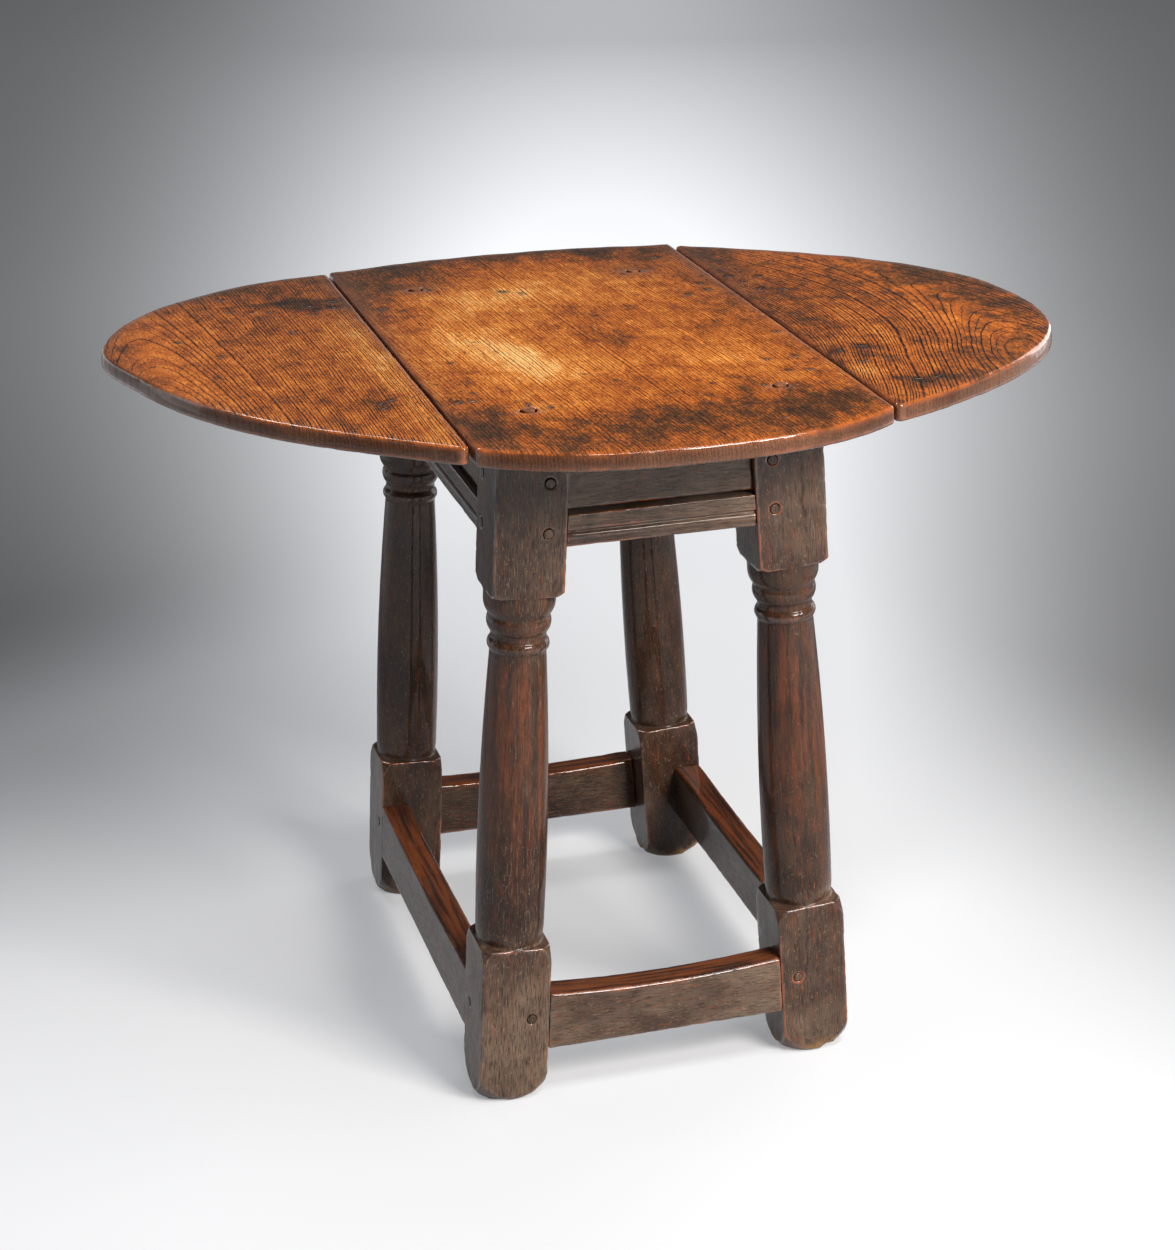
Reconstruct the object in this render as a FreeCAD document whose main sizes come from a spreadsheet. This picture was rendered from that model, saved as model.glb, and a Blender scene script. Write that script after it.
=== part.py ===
import FreeCAD, Part
import math
import os
import Sketcher

# Drop-leaf occasional table of joined oak: an oval top of three boards on a canted, turned frame.
# Row frame: +Z up, +X towards the right leaf, the front edge at -Y, origin under the middle of the top's box.

DRIVING_SIZES = [
    ("top_height", 680, "floor to the top of the boards"),
    ("board_thickness", 17, "all three boards"),
    ("oval_half_length", 452.5, "centre to the tip of a leaf"),
    ("oval_half_depth", 364.3, "centre to the middle of the centre board's front and back edges"),
    ("hinge_line", 189.5, "centre to each hinge axis"),
    ("board_gap", 2.4, "open joint between two boards"),
    ("corner_front", 309.7, "centre to the front corners of all three boards"),
    ("corner_back", 340, "centre to the centre board's back corners"),
    ("leaf_back", 333, "centre to the back corners of the leaves"),
    ("corner_round", 6, "worn board corners, seen from above"),
    ("arris_top", 3.4, "worn upper edge of the boards"),
    ("arris_under", 2, "lower edge of the boards"),
    ("frame_setback", 27.3, "how far the frame stands behind the middle of the top"),
    ("leg_spread_top", 116.7, "centre to the leg's axis, under the boards"),
    ("leg_spread_floor", 154.9, "centre to the leg's axis, on the floor"),
    ("leg_depth", 226, "centre of the frame to the leg's axis, front to back"),
    ("leg_width", 67, "square of the leg blank"),
    ("foot_block", 160, "height of the lower square block"),
    ("turned_length", 350, "turned stretch between the two blocks"),
    ("frieze_height", 76.4, "upper rail"),
    ("frieze_recess", 7, "upper rail behind the leg's face"),
    ("rail_thickness", 24, "upper and lower rails"),
    ("rail_bevel", 1.2, "small bevel along the lower edge of the upper rail"),
    ("rail_gap", 2.6, "dark gap between the two rails"),
    ("lower_rail_height", 30.5, "moulded rail"),
    ("lower_rail_recess", 1.5, "moulded rail behind the leg's face"),
    ("moulding_step", 3, "how deep the bead is sunk at its two edges"),
    ("moulding_bead", 10, "height of the bead"),
    ("moulding_quirk", 2, "groove between the bead and the flat band above it"),
    ("moulding_foot", 3.5, "plain strip under the bead"),
    ("moulding_foot_step", 1.2, "that strip behind the bead's front"),
    ("stretcher_low", 50, "floor to the underside of the stretchers"),
    ("stretcher_height", 62, "at the legs"),
    ("stretcher_thickness", 30, ""),
    ("front_wear", 9, "hollow worn in the front stretcher's top"),
    ("side_wear", 5, "hollow worn in the other stretchers' tops"),
    ("stretcher_round", 4, "worn upper edges of the stretchers"),
    ("tenon_thickness", 10, ""),
    ("tenon_length", 38, "from the leg's face into the leg"),
    ("tenon_shoulder", 5, "shoulder above and below a tenon"),
    ("tenon_setback", 20, "leg's outer face to the middle of the tenon"),
    ("joint_peg_radius", 4.6, "pegs through the tenons"),
    ("joint_peg_length", 42, ""),
    ("joint_peg_inset", 16, "leg's axis to the peg, towards the rail"),
    ("joint_peg_proud", 0.5, "end left standing out of the leg"),
    ("top_peg_radius", 6, "pegs through the centre board into the legs"),
    ("top_peg_length", 48, ""),
    ("top_peg_shift", 14, "those pegs in front of the legs' axes"),
    ("loper_width", 32, ""),
    ("loper_depth", 20, ""),
    ("loper_near", 52, "centre of the frame to the nearer loper of each side"),
    ("loper_far", 92, "centre of the frame to the further loper of each side"),
    ("loper_clearance", 0.3, "round a loper, and between it and what it meets"),
    ("loper_nose_in", 183, "centre to the nose's end, pushed in"),
    ("loper_tail_in", 117, "past the centre to the tail's end, pushed in"),
    ("nose_drop", 2.2, "how far the thumb of the nose hangs below the bar"),
    ("nose_length", 26, "shaped end of a loper"),
    ("finger_peg_radius", 4.8, "faceted peg under the nose, to its corners"),
    ("finger_peg_back", 23, "nose's end to that peg"),
    ("finger_peg_drop", 8, "how far it stands below the bar"),
    ("stop_peg_radius", 4, "round peg in the tail"),
    ("stop_peg_back", 13, "tail's end to that peg"),
    ("stop_peg_drop", 12, "how far it stands below the bar"),
    ("cleat_thickness", 12, "inner cleat that carries the lopers"),
    ("cleat_height", 20, ""),
    ("cleat_half_length", 130, ""),
    ("hinge_front", 180, "centre of the frame to the front hinges"),
    ("hinge_back", 152, "centre of the frame to the back hinges"),
    ("hinge_drop", 4, "underside of the boards to the hinge axis"),
    ("knuckle_radius", 3.6, ""),
    ("knuckle_length", 8, "each of the three knuckles"),
    ("knuckle_gap", 0.3, "between two knuckles"),
    ("hinge_pin_radius", 2, ""),
    ("hinge_pin_play", 0.05, "round the pin in the moving knuckle"),
    ("flap_thickness", 2, "iron plate"),
    ("flap_length", 32, ""),
    ("flap_wide", 38, "outer end of the butterfly flap"),
    ("flap_start", 4.6, "hinge axis to the start of the plate"),
    ("nail_radius", 1.4, ""),
    ("nail_head_radius", 3.2, ""),
    ("nail_head_thickness", 1.2, ""),
    ("overrun", 5, "how far a cutting solid passes the face it cuts"),
]

doc = FreeCAD.newDocument("drop_leaf_table")
sheet = doc.addObject("Spreadsheet::Sheet", "sizes")


class Size:
    """A length or a ratio: its value, and the same thing as a formula on the sheet's cells."""

    def __init__(self, value, text):
        self.value = float(value)
        self.text = text

    def combine(self, other, sign, value):
        text = other.text if isinstance(other, Size) else repr(other)
        return Size(value, "(" + self.text + " " + sign + " " + text + ")")

    def __float__(self):
        return self.value

    def __add__(self, other):
        return self.combine(other, "+", self.value + float(other))

    def __sub__(self, other):
        return self.combine(other, "-", self.value - float(other))

    def __mul__(self, other):
        return self.combine(other, "*", self.value * float(other))

    def __truediv__(self, other):
        return self.combine(other, "/", self.value / float(other))

    def __neg__(self):
        return Size(-self.value, "(0 - " + self.text + ")")


def fill_sheet():
    for row, (name, value, note) in enumerate(DRIVING_SIZES, start=1):
        sheet.set("A%d" % row, name)
        sheet.set("B%d" % row, str(value))
        sheet.setAlias("B%d" % row, name)
        sheet.set("C%d" % row, note)
    doc.recompute()
    return {name: Size(sheet.get(name), "sizes." + name) for name, value, note in DRIVING_SIZES}


d = fill_sheet()
ZERO = Size(0, "0")

# Places worked out from the driving sizes
underside = d["top_height"] - d["board_thickness"]
half_leg = d["leg_width"] / 2
splay = (d["leg_spread_floor"] - d["leg_spread_top"]) / underside
splay_angle = math.degrees(math.atan(splay.value))
block_bottom = d["foot_block"] + d["turned_length"]
frieze_low = underside - d["frieze_height"]
lower_rail_top = frieze_low - d["rail_gap"]
lower_rail_low = lower_rail_top - d["lower_rail_height"]
stretcher_top = d["stretcher_low"] + d["stretcher_height"]
loper_top = underside - d["loper_clearance"]
loper_low = loper_top - d["loper_depth"]
cleat_top = loper_low - d["loper_clearance"]
axis_height = underside - d["hinge_drop"]
SIDES = ("front", "back", "left", "right")
CORNERS = {"front_left": (-1, -1), "front_right": (1, -1), "back_left": (-1, 1), "back_right": (1, 1)}
nodes = {}


def spread_at(height):
    """Centre of the table to the leg's axis at a height."""
    return d["leg_spread_floor"] - splay * height


# Placements

def turned_about(x=0.0, y=0.0, z=0.0, yaw=0.0, tilt=0.0):
    """A placement that first turns about Z by yaw, then about Y by tilt, and then moves."""
    turn = FreeCAD.Rotation(FreeCAD.Vector(0, 1, 0), tilt)
    turn = turn.multiply(FreeCAD.Rotation(FreeCAD.Vector(0, 0, 1), yaw))
    return FreeCAD.Placement(FreeCAD.Vector(float(x), float(y), float(z)), turn)


def side_place(side):
    """The frame of one side of the table: X along its rails, Y outwards from the legs' axes, Z up the legs."""
    middle = d["frame_setback"]
    reach = d["leg_spread_floor"]
    return {
        "front": turned_about(y=middle - d["leg_depth"], yaw=180),
        "back": turned_about(y=middle + d["leg_depth"]),
        "left": turned_about(x=-reach, y=middle, yaw=90, tilt=splay_angle),
        "right": turned_about(x=reach, y=middle, yaw=-90, tilt=-splay_angle),
    }[side]


def leg_place(corner):
    sx, sy = CORNERS[corner]
    across = d["leg_spread_floor"] * sx
    along = d["frame_setback"] + d["leg_depth"] * sy
    return turned_about(x=across, y=along, tilt=-sx * splay_angle)


# Small helpers for document objects

def bind(thing, prop, length):
    thing.setExpression(prop, length.text)


def box(name, low, extent, place=None):
    """A box from its low corner and its three sides, in a placement's frame."""
    thing = doc.addObject("Part::Box", name)
    for prop, length in zip(("Length", "Width", "Height"), extent):
        bind(thing, prop, length)
    corner = FreeCAD.Vector(*[float(v) for v in low])
    thing.Placement = (place or FreeCAD.Placement()).multiply(FreeCAD.Placement(corner, FreeCAD.Rotation()))
    return thing


def rod(name, radius, length, base, direction, place=None):
    """A round rod from its base along a direction, in a placement's frame."""
    thing = doc.addObject("Part::Cylinder", name)
    bind(thing, "Radius", radius)
    bind(thing, "Height", length)
    turn = FreeCAD.Rotation(FreeCAD.Vector(0, 0, 1), FreeCAD.Vector(*direction))
    local = FreeCAD.Placement(FreeCAD.Vector(*[float(v) for v in base]), turn)
    thing.Placement = (place or FreeCAD.Placement()).multiply(local)
    return thing


def group(name, things):
    thing = doc.addObject("Part::Compound", name)
    thing.Links = things
    return thing


def cut(name, base, tool):
    thing = doc.addObject("Part::Cut", name)
    thing.Base = base
    thing.Tool = tool
    return thing


def common(name, base, tool):
    thing = doc.addObject("Part::Common", name)
    thing.Base = base
    thing.Tool = tool
    return thing


def fuse(name, things):
    thing = doc.addObject("Part::MultiFuse", name)
    thing.Shapes = things
    return thing


def keep(name, thing):
    """Give a finished piece its own label and list it among the nodes."""
    thing.Label = name
    nodes[name] = thing
    return thing


def flat(point):
    return FreeCAD.Vector(float(point[0]), float(point[1]), 0)


def outline(body, name, role, corners, bends=None):
    """A closed sketch through corners. bends gives the points that an edge passes: one makes an arc, more a curve."""
    bends = bends or {}
    sketch = body.newObject("Sketcher::SketchObject", name)
    plane = [part for part in body.Origin.OriginFeatures if part.Role == role][0]
    sketch.AttachmentSupport = [(plane, "")]
    sketch.MapMode = "FlatFace"
    count = len(corners)
    for index in range(count):
        start, end = flat(corners[index]), flat(corners[(index + 1) % count])
        through = [flat(point) for point in bends.get(index, [])]
        if not through:
            edge = Part.LineSegment(start, end)
        elif len(through) == 1:
            edge = Part.Arc(start, through[0], end)
        else:
            edge = Part.BSplineCurve()
            edge.interpolate([start] + through + [end])
        sketch.addGeometry(edge, False)
    # An arc's first point is the end that comes first anticlockwise, so the ends are matched by place
    ends = [end_at(sketch, index, flat(corners[index])) for index in range(count)]
    for index in range(count):
        before = (index - 1) % count
        place = flat(corners[index])
        sketch.addConstraint(Sketcher.Constraint(
            "Coincident", before, end_at(sketch, before, place), index, ends[index]))
        for kind, axis, value in (("DistanceX", -2, corners[index][0]), ("DistanceY", -1, corners[index][1])):
            if abs(float(value)) < 1e-9:
                sketch.addConstraint(Sketcher.Constraint("PointOnObject", index, ends[index], axis))
                continue
            number = sketch.addConstraint(Sketcher.Constraint(
                kind, -1, 1, index, ends[index], float(value)))
            sketch.setExpression("Constraints[%d]" % number, value.text)
    return sketch


def end_at(sketch, index, place):
    """Which end of an edge, 1 or 2, lies at a place."""
    first = sketch.getPoint(index, 1)
    last = sketch.getPoint(index, 2)
    return 1 if (first - place).Length <= (last - place).Length else 2


def pad(body, sketch, length, midplane=False):
    thing = body.newObject("PartDesign::Pad", sketch.Name + "_pad")
    thing.Profile = sketch
    thing.Midplane = midplane
    bind(thing, "Length", length)
    doc.recompute()
    return thing


def edges_of(feature, wanted):
    return ["Edge%d" % n for n, edge in enumerate(feature.Shape.Edges, start=1) if wanted(edge)]


def fillet(body, base, name, radius, wanted):
    thing = body.newObject("PartDesign::Fillet", name)
    thing.Base = (base, edges_of(base, wanted))
    bind(thing, "Radius", radius)
    doc.recompute()
    return thing


def level_edge(edge, height):
    low, high = edge.BoundBox.ZMin, edge.BoundBox.ZMax
    return abs(low - height) < 1e-4 and abs(high - height) < 1e-4


# The top: three boards of one oval

def board(name, corners, bends):
    """One board: its outline, its corners rounded in plan, and its worn arrises."""
    body = doc.addObject("PartDesign::Body", name + "_body")
    blank = pad(body, outline(body, name + "_outline", "XY_Plane", corners, bends), d["board_thickness"])
    thickness = float(d["board_thickness"])
    rounded = fillet(body, blank, name + "_corners", d["corner_round"],
                     lambda edge: abs(edge.BoundBox.ZLength - thickness) < 1e-4)
    eased = fillet(body, rounded, name + "_upper_arris", d["arris_top"],
                   lambda edge: level_edge(edge, thickness))
    fillet(body, eased, name + "_lower_arris", d["arris_under"], lambda edge: level_edge(edge, 0.0))
    bind(body, "Placement.Base.z", underside)
    return body


# Rim of each leaf, as shares of its reach past the hinge and of its half length along the joint. The left one is
# flatter in front, and its tip lies well behind the middle.
RIGHT_RIM_SHARES = [(0.272, 0.870), (0.574, 0.683), (0.834, 0.441), (0.9735, 0.179), (1.0, -0.030),
                    (0.966, -0.275), (0.868, -0.459), (0.690, -0.638), (0.451, -0.799), (0.201, -0.924)]
LEFT_RIM_SHARES = [(0.276, 0.974), (0.547, 0.865), (0.796, 0.690), (0.950, 0.469), (1.0, 0.270),
                   (0.948, 0.070), (0.834, -0.210), (0.672, -0.459), (0.505, -0.633), (0.291, -0.798)]
# Front rim of the centre board, as shares of its half width and of its bulge
FRONT_RIM_SHARES = [(-0.80, 0.46), (-0.516, 0.825), (0.0, 1.0), (0.516, 0.825), (0.80, 0.46)]


def leaf_board(side):
    sx = -1 if side == "left" else 1
    shares = LEFT_RIM_SHARES if side == "left" else RIGHT_RIM_SHARES
    inner = d["hinge_line"] + d["board_gap"] / 2
    reach = d["oval_half_length"] - inner
    middle = (d["leaf_back"] - d["corner_front"]) / 2
    half = (d["leaf_back"] + d["corner_front"]) / 2
    rim = [((inner + reach * u) * sx, middle + half * v) for u, v in shares]
    return board("leaf_" + side, [(inner * sx, -d["corner_front"]), (inner * sx, d["leaf_back"])], {1: rim})


def centre_board_blank():
    edge = d["hinge_line"] - d["board_gap"] / 2
    corners = [(-edge, -d["corner_front"]), (edge, -d["corner_front"]),
               (edge, d["corner_back"]), (-edge, d["corner_back"])]
    bulge = d["oval_half_depth"] - d["corner_front"]
    front = [(edge * u, -(d["corner_front"] + bulge * v)) for u, v in FRONT_RIM_SHARES]
    return board("centre_board", corners, {0: front, 2: [(ZERO, d["oval_half_depth"])]})


# The legs: a square blank, turned between its blocks

# Turned profile, bottom to top: share of the turned length, share of the blank's half width.
# Past its corners, at 1.42, the blank stays square.
PROFILE_SHARES = [
    (0.0, 1.23), (0.0, 0.91), (0.045, 0.975), (0.83, 0.785), (0.836, 0.79), (0.868, 0.78), (0.872, 0.77),
    (0.883, 0.77), (0.887, 0.79), (0.927, 0.875), (0.929, 0.85), (0.934, 0.85), (0.938, 0.875),
    (0.975, 0.995), (1.0, 0.995), (1.0, 1.24),
]
# Middle points of the arcs that start at the profile point of that number
PROFILE_BEND_SHARES = {1: (0.018, 0.955), 2: (0.40, 0.972), 4: (0.852, 0.865), 8: (0.906, 0.885), 12: (0.952, 0.955)}
CORNER_SHARE = 1.43
FOOT_BEVEL_SHARE = 0.042
BLOCK_BEVEL_SHARE = 0.016
# The foot is worn round: share of the foot block's height, share of the half width
FOOT_ROUND_SHARES = {"tread": (0.0, 0.93), "middle": (0.075, 1.23), "end": (0.22, CORNER_SHARE)}


def leg_outline(body, name):
    """Half section of the turning, from its axis out."""
    radius = half_leg
    outside = radius * CORNER_SHARE
    height = d["turned_length"]

    def at(share, radial):
        return (radius * radial, d["foot_block"] + height * share)

    top = underside + d["overrun"] * 2
    foot = {part: (radius * radial, d["foot_block"] * share)
            for part, (share, radial) in FOOT_ROUND_SHARES.items()}
    points = [(ZERO, -d["overrun"]), (foot["tread"][0], -d["overrun"]), (foot["tread"][0], ZERO), foot["end"]]
    points += [at(-FOOT_BEVEL_SHARE, CORNER_SHARE)]
    first = len(points)
    points += [at(share, radial) for share, radial in PROFILE_SHARES]
    points += [at(1 + BLOCK_BEVEL_SHARE, CORNER_SHARE), (outside, top), (ZERO, top)]
    bends = {first + n: [at(*shares)] for n, shares in PROFILE_BEND_SHARES.items()}
    bends[2] = [foot["middle"]]
    return outline(body, name, "XZ_Plane", points, bends)


def leg_blank(corner):
    size = (d["leg_width"], d["leg_width"], underside + d["overrun"] * 3)
    return box("leg_%s_blank" % corner, (-half_leg, -half_leg, -d["overrun"]), size, leg_place(corner))


def turned_leg(corner, blank, room):
    """The blank, turned, and cut level at the floor and under the boards."""
    body = doc.addObject("PartDesign::Body", "leg_%s_turning" % corner)
    sketch = leg_outline(body, "leg_%s_profile" % corner)
    turning = body.newObject("PartDesign::Revolution", "leg_%s_revolution" % corner)
    turning.Profile = sketch
    turning.ReferenceAxis = (sketch, ["V_Axis"])
    turning.Angle = 360
    body.Placement = leg_place(corner)
    doc.recompute()
    shaped = common("leg_%s_shaped" % corner, blank, body)
    return common("leg_%s_level" % corner, shaped, room)


# Rails and stretchers, each in the frame of its side

def rail_length(side, height):
    """Half the distance between two legs' axes at a height, along a side."""
    return spread_at(height) if side in ("front", "back") else d["leg_depth"]


def rail_body(name, side, corners, bends, height):
    """A rail's section, drawn across the rail and run from one leg's axis to the other."""
    body = doc.addObject("PartDesign::Body", name + "_body")
    sketch = outline(body, name + "_section", "YZ_Plane", corners, bends)
    pad(body, sketch, rail_length(side, height) * 2, midplane=True)
    body.Placement = side_place(side)
    return body


def tenon_bar(name, side, low, high):
    """One bar through a rail whose two ends are its tenons."""
    middle = (low + high) / 2
    reach = rail_length(side, middle) - half_leg + d["tenon_length"]
    across = half_leg - d["tenon_setback"] - d["tenon_thickness"] / 2
    low_edge = low + d["tenon_shoulder"]
    extent = (reach * 2, d["tenon_thickness"], high - low - d["tenon_shoulder"] * 2)
    return box(name + "_tenons", (-reach, across, low_edge), extent, side_place(side))


def frieze_section():
    outer = half_leg - d["frieze_recess"]
    inner = outer - d["rail_thickness"]
    high = underside + d["overrun"]
    return [(inner, frieze_low), (outer - d["rail_bevel"], frieze_low),
            (outer, frieze_low + d["rail_bevel"]), (outer, high), (inner, high)], {}


def lower_rail_section():
    """Flat band above, then a groove, a bead and a plain strip."""
    outer = half_leg - d["lower_rail_recess"]
    inner = outer - d["rail_thickness"]
    sunk = outer - d["moulding_step"]
    strip = outer - d["moulding_foot_step"]
    bead_low = lower_rail_low + d["moulding_foot"]
    bead_high = bead_low + d["moulding_bead"]
    band_low = bead_high + d["moulding_quirk"]
    corners = [(inner, lower_rail_low), (strip, lower_rail_low), (strip, bead_low), (sunk, bead_low),
               (sunk, bead_high), (sunk, band_low), (outer, band_low), (outer, lower_rail_top),
               (inner, lower_rail_top)]
    return corners, {3: [(outer, (bead_low + bead_high) / 2)]}


def stretcher_body(name, side):
    """A bar whose top is worn hollow, drawn as it is seen from outside."""
    wear = d["front_wear"] if side == "front" else d["side_wear"]
    half = rail_length(side, stretcher_top)
    body = doc.addObject("PartDesign::Body", name + "_body")
    corners = [(-half, d["stretcher_low"]), (half, d["stretcher_low"]), (half, stretcher_top),
               (-half, stretcher_top)]
    sketch = outline(body, name + "_elevation", "XZ_Plane", corners, {2: [(ZERO, stretcher_top - wear)]})
    bar = pad(body, sketch, d["stretcher_thickness"], midplane=True)
    fillet(body, bar, name + "_worn_edges", d["stretcher_round"],
           lambda edge: edge.Curve.TypeId == "Part::GeomCircle")
    middle = half_leg - d["stretcher_thickness"] / 2
    shift = FreeCAD.Placement(FreeCAD.Vector(0, float(middle), 0), FreeCAD.Rotation())
    body.Placement = side_place(side).multiply(shift)
    return body


def joint_pegs(side):
    """Six pegs on a side: through the upper rail's, lower rail's and stretcher's tenon in each leg."""
    heights = (underside - d["frieze_height"] * 0.62, lower_rail_low + d["lower_rail_height"] / 2,
               d["stretcher_low"] + d["stretcher_height"] * 0.56)
    pegs = []
    for end in (-1, 1):
        for height in heights:
            along = (rail_length(side, height) - d["joint_peg_inset"]) * end
            outer = half_leg + d["joint_peg_proud"]
            pegs.append(rod("joint_peg_%s_%d" % (side, len(pegs)), d["joint_peg_radius"], d["joint_peg_length"],
                            (along, outer, height), (0, -1, 0), side_place(side)))
    return group("joint_pegs_" + side, pegs)


# Lopers: bars that slide out to carry a raised leaf

LOPERS = {
    "left_front": (-1, -1, "loper_near"),
    "left_back": (-1, 1, "loper_far"),
    "right_front": (1, -1, "loper_far"),
    "right_back": (1, 1, "loper_near"),
}
NOSE_SHARES = {"thumb": 0.27, "hollow": 0.62, "hollow_middle": 0.42}


def loper_place(key):
    """X outwards along the loper from the middle of the table, Y across it."""
    sx, sy, offset = LOPERS[key]
    return turned_about(y=d["frame_setback"] + d[offset] * sy, yaw=0 if sx > 0 else 180)


def loper(key):
    """The bar with its thumb-shaped nose, its finger peg and its stop peg."""
    name = "loper_" + key
    place = loper_place(key)
    nose = d["loper_nose_in"]
    thumb = nose - d["nose_length"] * NOSE_SHARES["thumb"]
    hollow = nose - d["nose_length"] * NOSE_SHARES["hollow"]
    hollow_middle = nose - d["nose_length"] * NOSE_SHARES["hollow_middle"]
    drop = d["nose_drop"]
    corners = [(-d["loper_tail_in"], loper_low), (hollow, loper_low), (thumb, loper_low - drop),
               (nose, loper_low + drop * 2), (nose, loper_top), (-d["loper_tail_in"], loper_top)]
    bends = {1: [(hollow_middle, loper_low - drop * 0.3)],
             2: [(nose - drop * 0.7, loper_low - drop * 0.2)]}
    body = doc.addObject("PartDesign::Body", name + "_body")
    sketch = outline(body, name + "_elevation", "XZ_Plane", corners, bends)
    pad(body, sketch, d["loper_width"], midplane=True)
    body.Placement = place
    finger = doc.addObject("Part::Prism", name + "_finger_peg")
    finger.Polygon = 8
    bind(finger, "Circumradius", d["finger_peg_radius"])
    bind(finger, "Height", d["finger_peg_drop"] + d["loper_depth"] / 2)
    at = FreeCAD.Vector(float(nose - d["finger_peg_back"]), 0, float(loper_low - d["finger_peg_drop"]))
    finger.Placement = place.multiply(FreeCAD.Placement(at, FreeCAD.Rotation()))
    stop = rod(name + "_stop_peg", d["stop_peg_radius"], d["stop_peg_drop"] + d["loper_depth"] / 2,
               (-d["loper_tail_in"] + d["stop_peg_back"], 0, loper_low - d["stop_peg_drop"]), (0, 0, 1), place)
    pegs = keep("loper_pegs_" + key, group("loper_pegs_" + key, [finger, stop]))
    keep(name, cut(name, body, pegs))


def loper_notch(key):
    """The room that a loper needs in the side frieze."""
    room = d["loper_clearance"]
    inside = spread_at(underside) - half_leg
    length = d["leg_width"] + d["overrun"] * 4
    low = (inside, -(d["loper_width"] / 2 + room), cleat_top)
    extent = (length, d["loper_width"] + room * 2, d["loper_depth"] + room * 2 + d["overrun"])
    return box("loper_notch_" + key, low, extent, loper_place(key))


def cleat(side, frieze):
    """An inner cleat, scribed to the back of the side frieze, that carries the lopers and stops their pegs."""
    sx = -1 if side == "left" else 1
    face = d["loper_tail_in"] - d["stop_peg_back"] + d["stop_peg_radius"] + d["loper_clearance"]
    extent = (d["cleat_thickness"] + d["overrun"] * 2, d["cleat_half_length"] * 2, d["cleat_height"])
    place = turned_about(y=d["frame_setback"], yaw=0 if sx > 0 else 180)
    bar = box("cleat_%s_bar" % side, (face, -d["cleat_half_length"], cleat_top - d["cleat_height"]), extent, place)
    return keep("cleat_" + side, cut("cleat_" + side, bar, frieze))


# Butterfly hinges

HINGES = {"left_front": (-1, -1, "hinge_front"), "left_back": (-1, 1, "hinge_back"),
          "right_front": (1, -1, "hinge_front"), "right_back": (1, 1, "hinge_back")}
NAIL_SHARES = [(0.32, 0.22), (0.32, -0.22), (0.78, 0.32), (0.78, -0.32)]


def hinge_place(key):
    """X outwards from the hinge axis, Y along it, Z up from it. The left hinges are turned half round."""
    sx, sy, offset = HINGES[key]
    along = d["frame_setback"] + d[offset] * sy
    return turned_about(x=d["hinge_line"] * sx, y=along, z=axis_height, yaw=0 if sx > 0 else 180)


def knuckle(name, start, place):
    return rod(name, d["knuckle_radius"], d["knuckle_length"], (0, start, 0), (0, 1, 0), place)


def hinge_flap(key, outward):
    """One iron flap with its knuckles. outward is 1 for the leaf's flap and -1 for the centre board's."""
    kind = "moving" if outward > 0 else "fixed"
    name = "hinge_%s_%s_flap" % (key, kind)
    place = hinge_place(key)
    half_narrow = d["knuckle_length"] * 1.5 + d["knuckle_gap"]
    start = d["flap_start"] * outward
    end = (d["flap_start"] + d["flap_length"]) * outward
    low = d["hinge_drop"] - d["flap_thickness"]
    body = doc.addObject("PartDesign::Body", name + "_plate")
    corners = [(start, -half_narrow), (end, -d["flap_wide"] / 2), (end, d["flap_wide"] / 2), (start, half_narrow)]
    pad(body, outline(body, name + "_outline", "XY_Plane", corners), d["flap_thickness"])
    body.Placement = place.multiply(FreeCAD.Placement(FreeCAD.Vector(0, 0, float(low)), FreeCAD.Rotation()))
    step = d["knuckle_length"] + d["knuckle_gap"]
    first = -d["knuckle_length"] / 2
    starts = [first] if outward > 0 else [first - step, first + step]
    pieces = [body]
    for number, along in enumerate(starts):
        pieces.append(knuckle("%s_knuckle_%d" % (name, number), along, place))
        neck_from = ZERO if outward > 0 else start
        pieces.append(box("%s_neck_%d" % (name, number), (neck_from, along, low),
                          (d["flap_start"], d["knuckle_length"], d["flap_thickness"]), place))
    play = d["hinge_pin_play"] if outward > 0 else ZERO
    bore = rod(name + "_bore", d["hinge_pin_radius"] + play, step * 4, (0, -(step * 2), 0), (0, 1, 0), place)
    return cut(name + "_bored", fuse(name + "_joined", pieces), bore)


def hinge_nails(key, outward):
    """Nails up through a flap and the board, each with a flat head under the iron."""
    kind = "moving" if outward > 0 else "fixed"
    place = hinge_place(key)
    low = d["hinge_drop"] - d["flap_thickness"]
    nails = []
    for number, (reach, side) in enumerate(NAIL_SHARES):
        x = (d["flap_start"] + d["flap_length"] * reach) * outward
        y = d["flap_wide"] * side
        label = "hinge_%s_%s_nail_%d" % (key, kind, number)
        head = rod(label + "_head", d["nail_head_radius"], d["nail_head_thickness"],
                   (x, y, low - d["nail_head_thickness"]), (0, 0, 1), place)
        shank = rod(label + "_shank", d["nail_radius"], d["flap_thickness"] + d["board_thickness"],
                    (x, y, low), (0, 0, 1), place)
        nails.append(fuse(label, [head, shank]))
    return group("hinge_%s_%s_nails" % (key, kind), nails)


def hinge_pin(key):
    length = d["knuckle_length"] * 3 + d["knuckle_gap"] * 2
    name = "hinge_pin_" + key
    return keep(name, rod(name, d["hinge_pin_radius"], length, (0, -(length / 2), 0), (0, 1, 0),
                          hinge_place(key)))


def top_peg(corner):
    sx, sy = CORNERS[corner]
    across = d["leg_spread_top"] * sx
    along = d["frame_setback"] + d["leg_depth"] * sy - d["top_peg_shift"]
    return rod("top_peg_" + corner, d["top_peg_radius"], d["top_peg_length"],
               (across, along, d["top_height"] - d["top_peg_length"]), (0, 0, 1))


# Assembly

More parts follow.
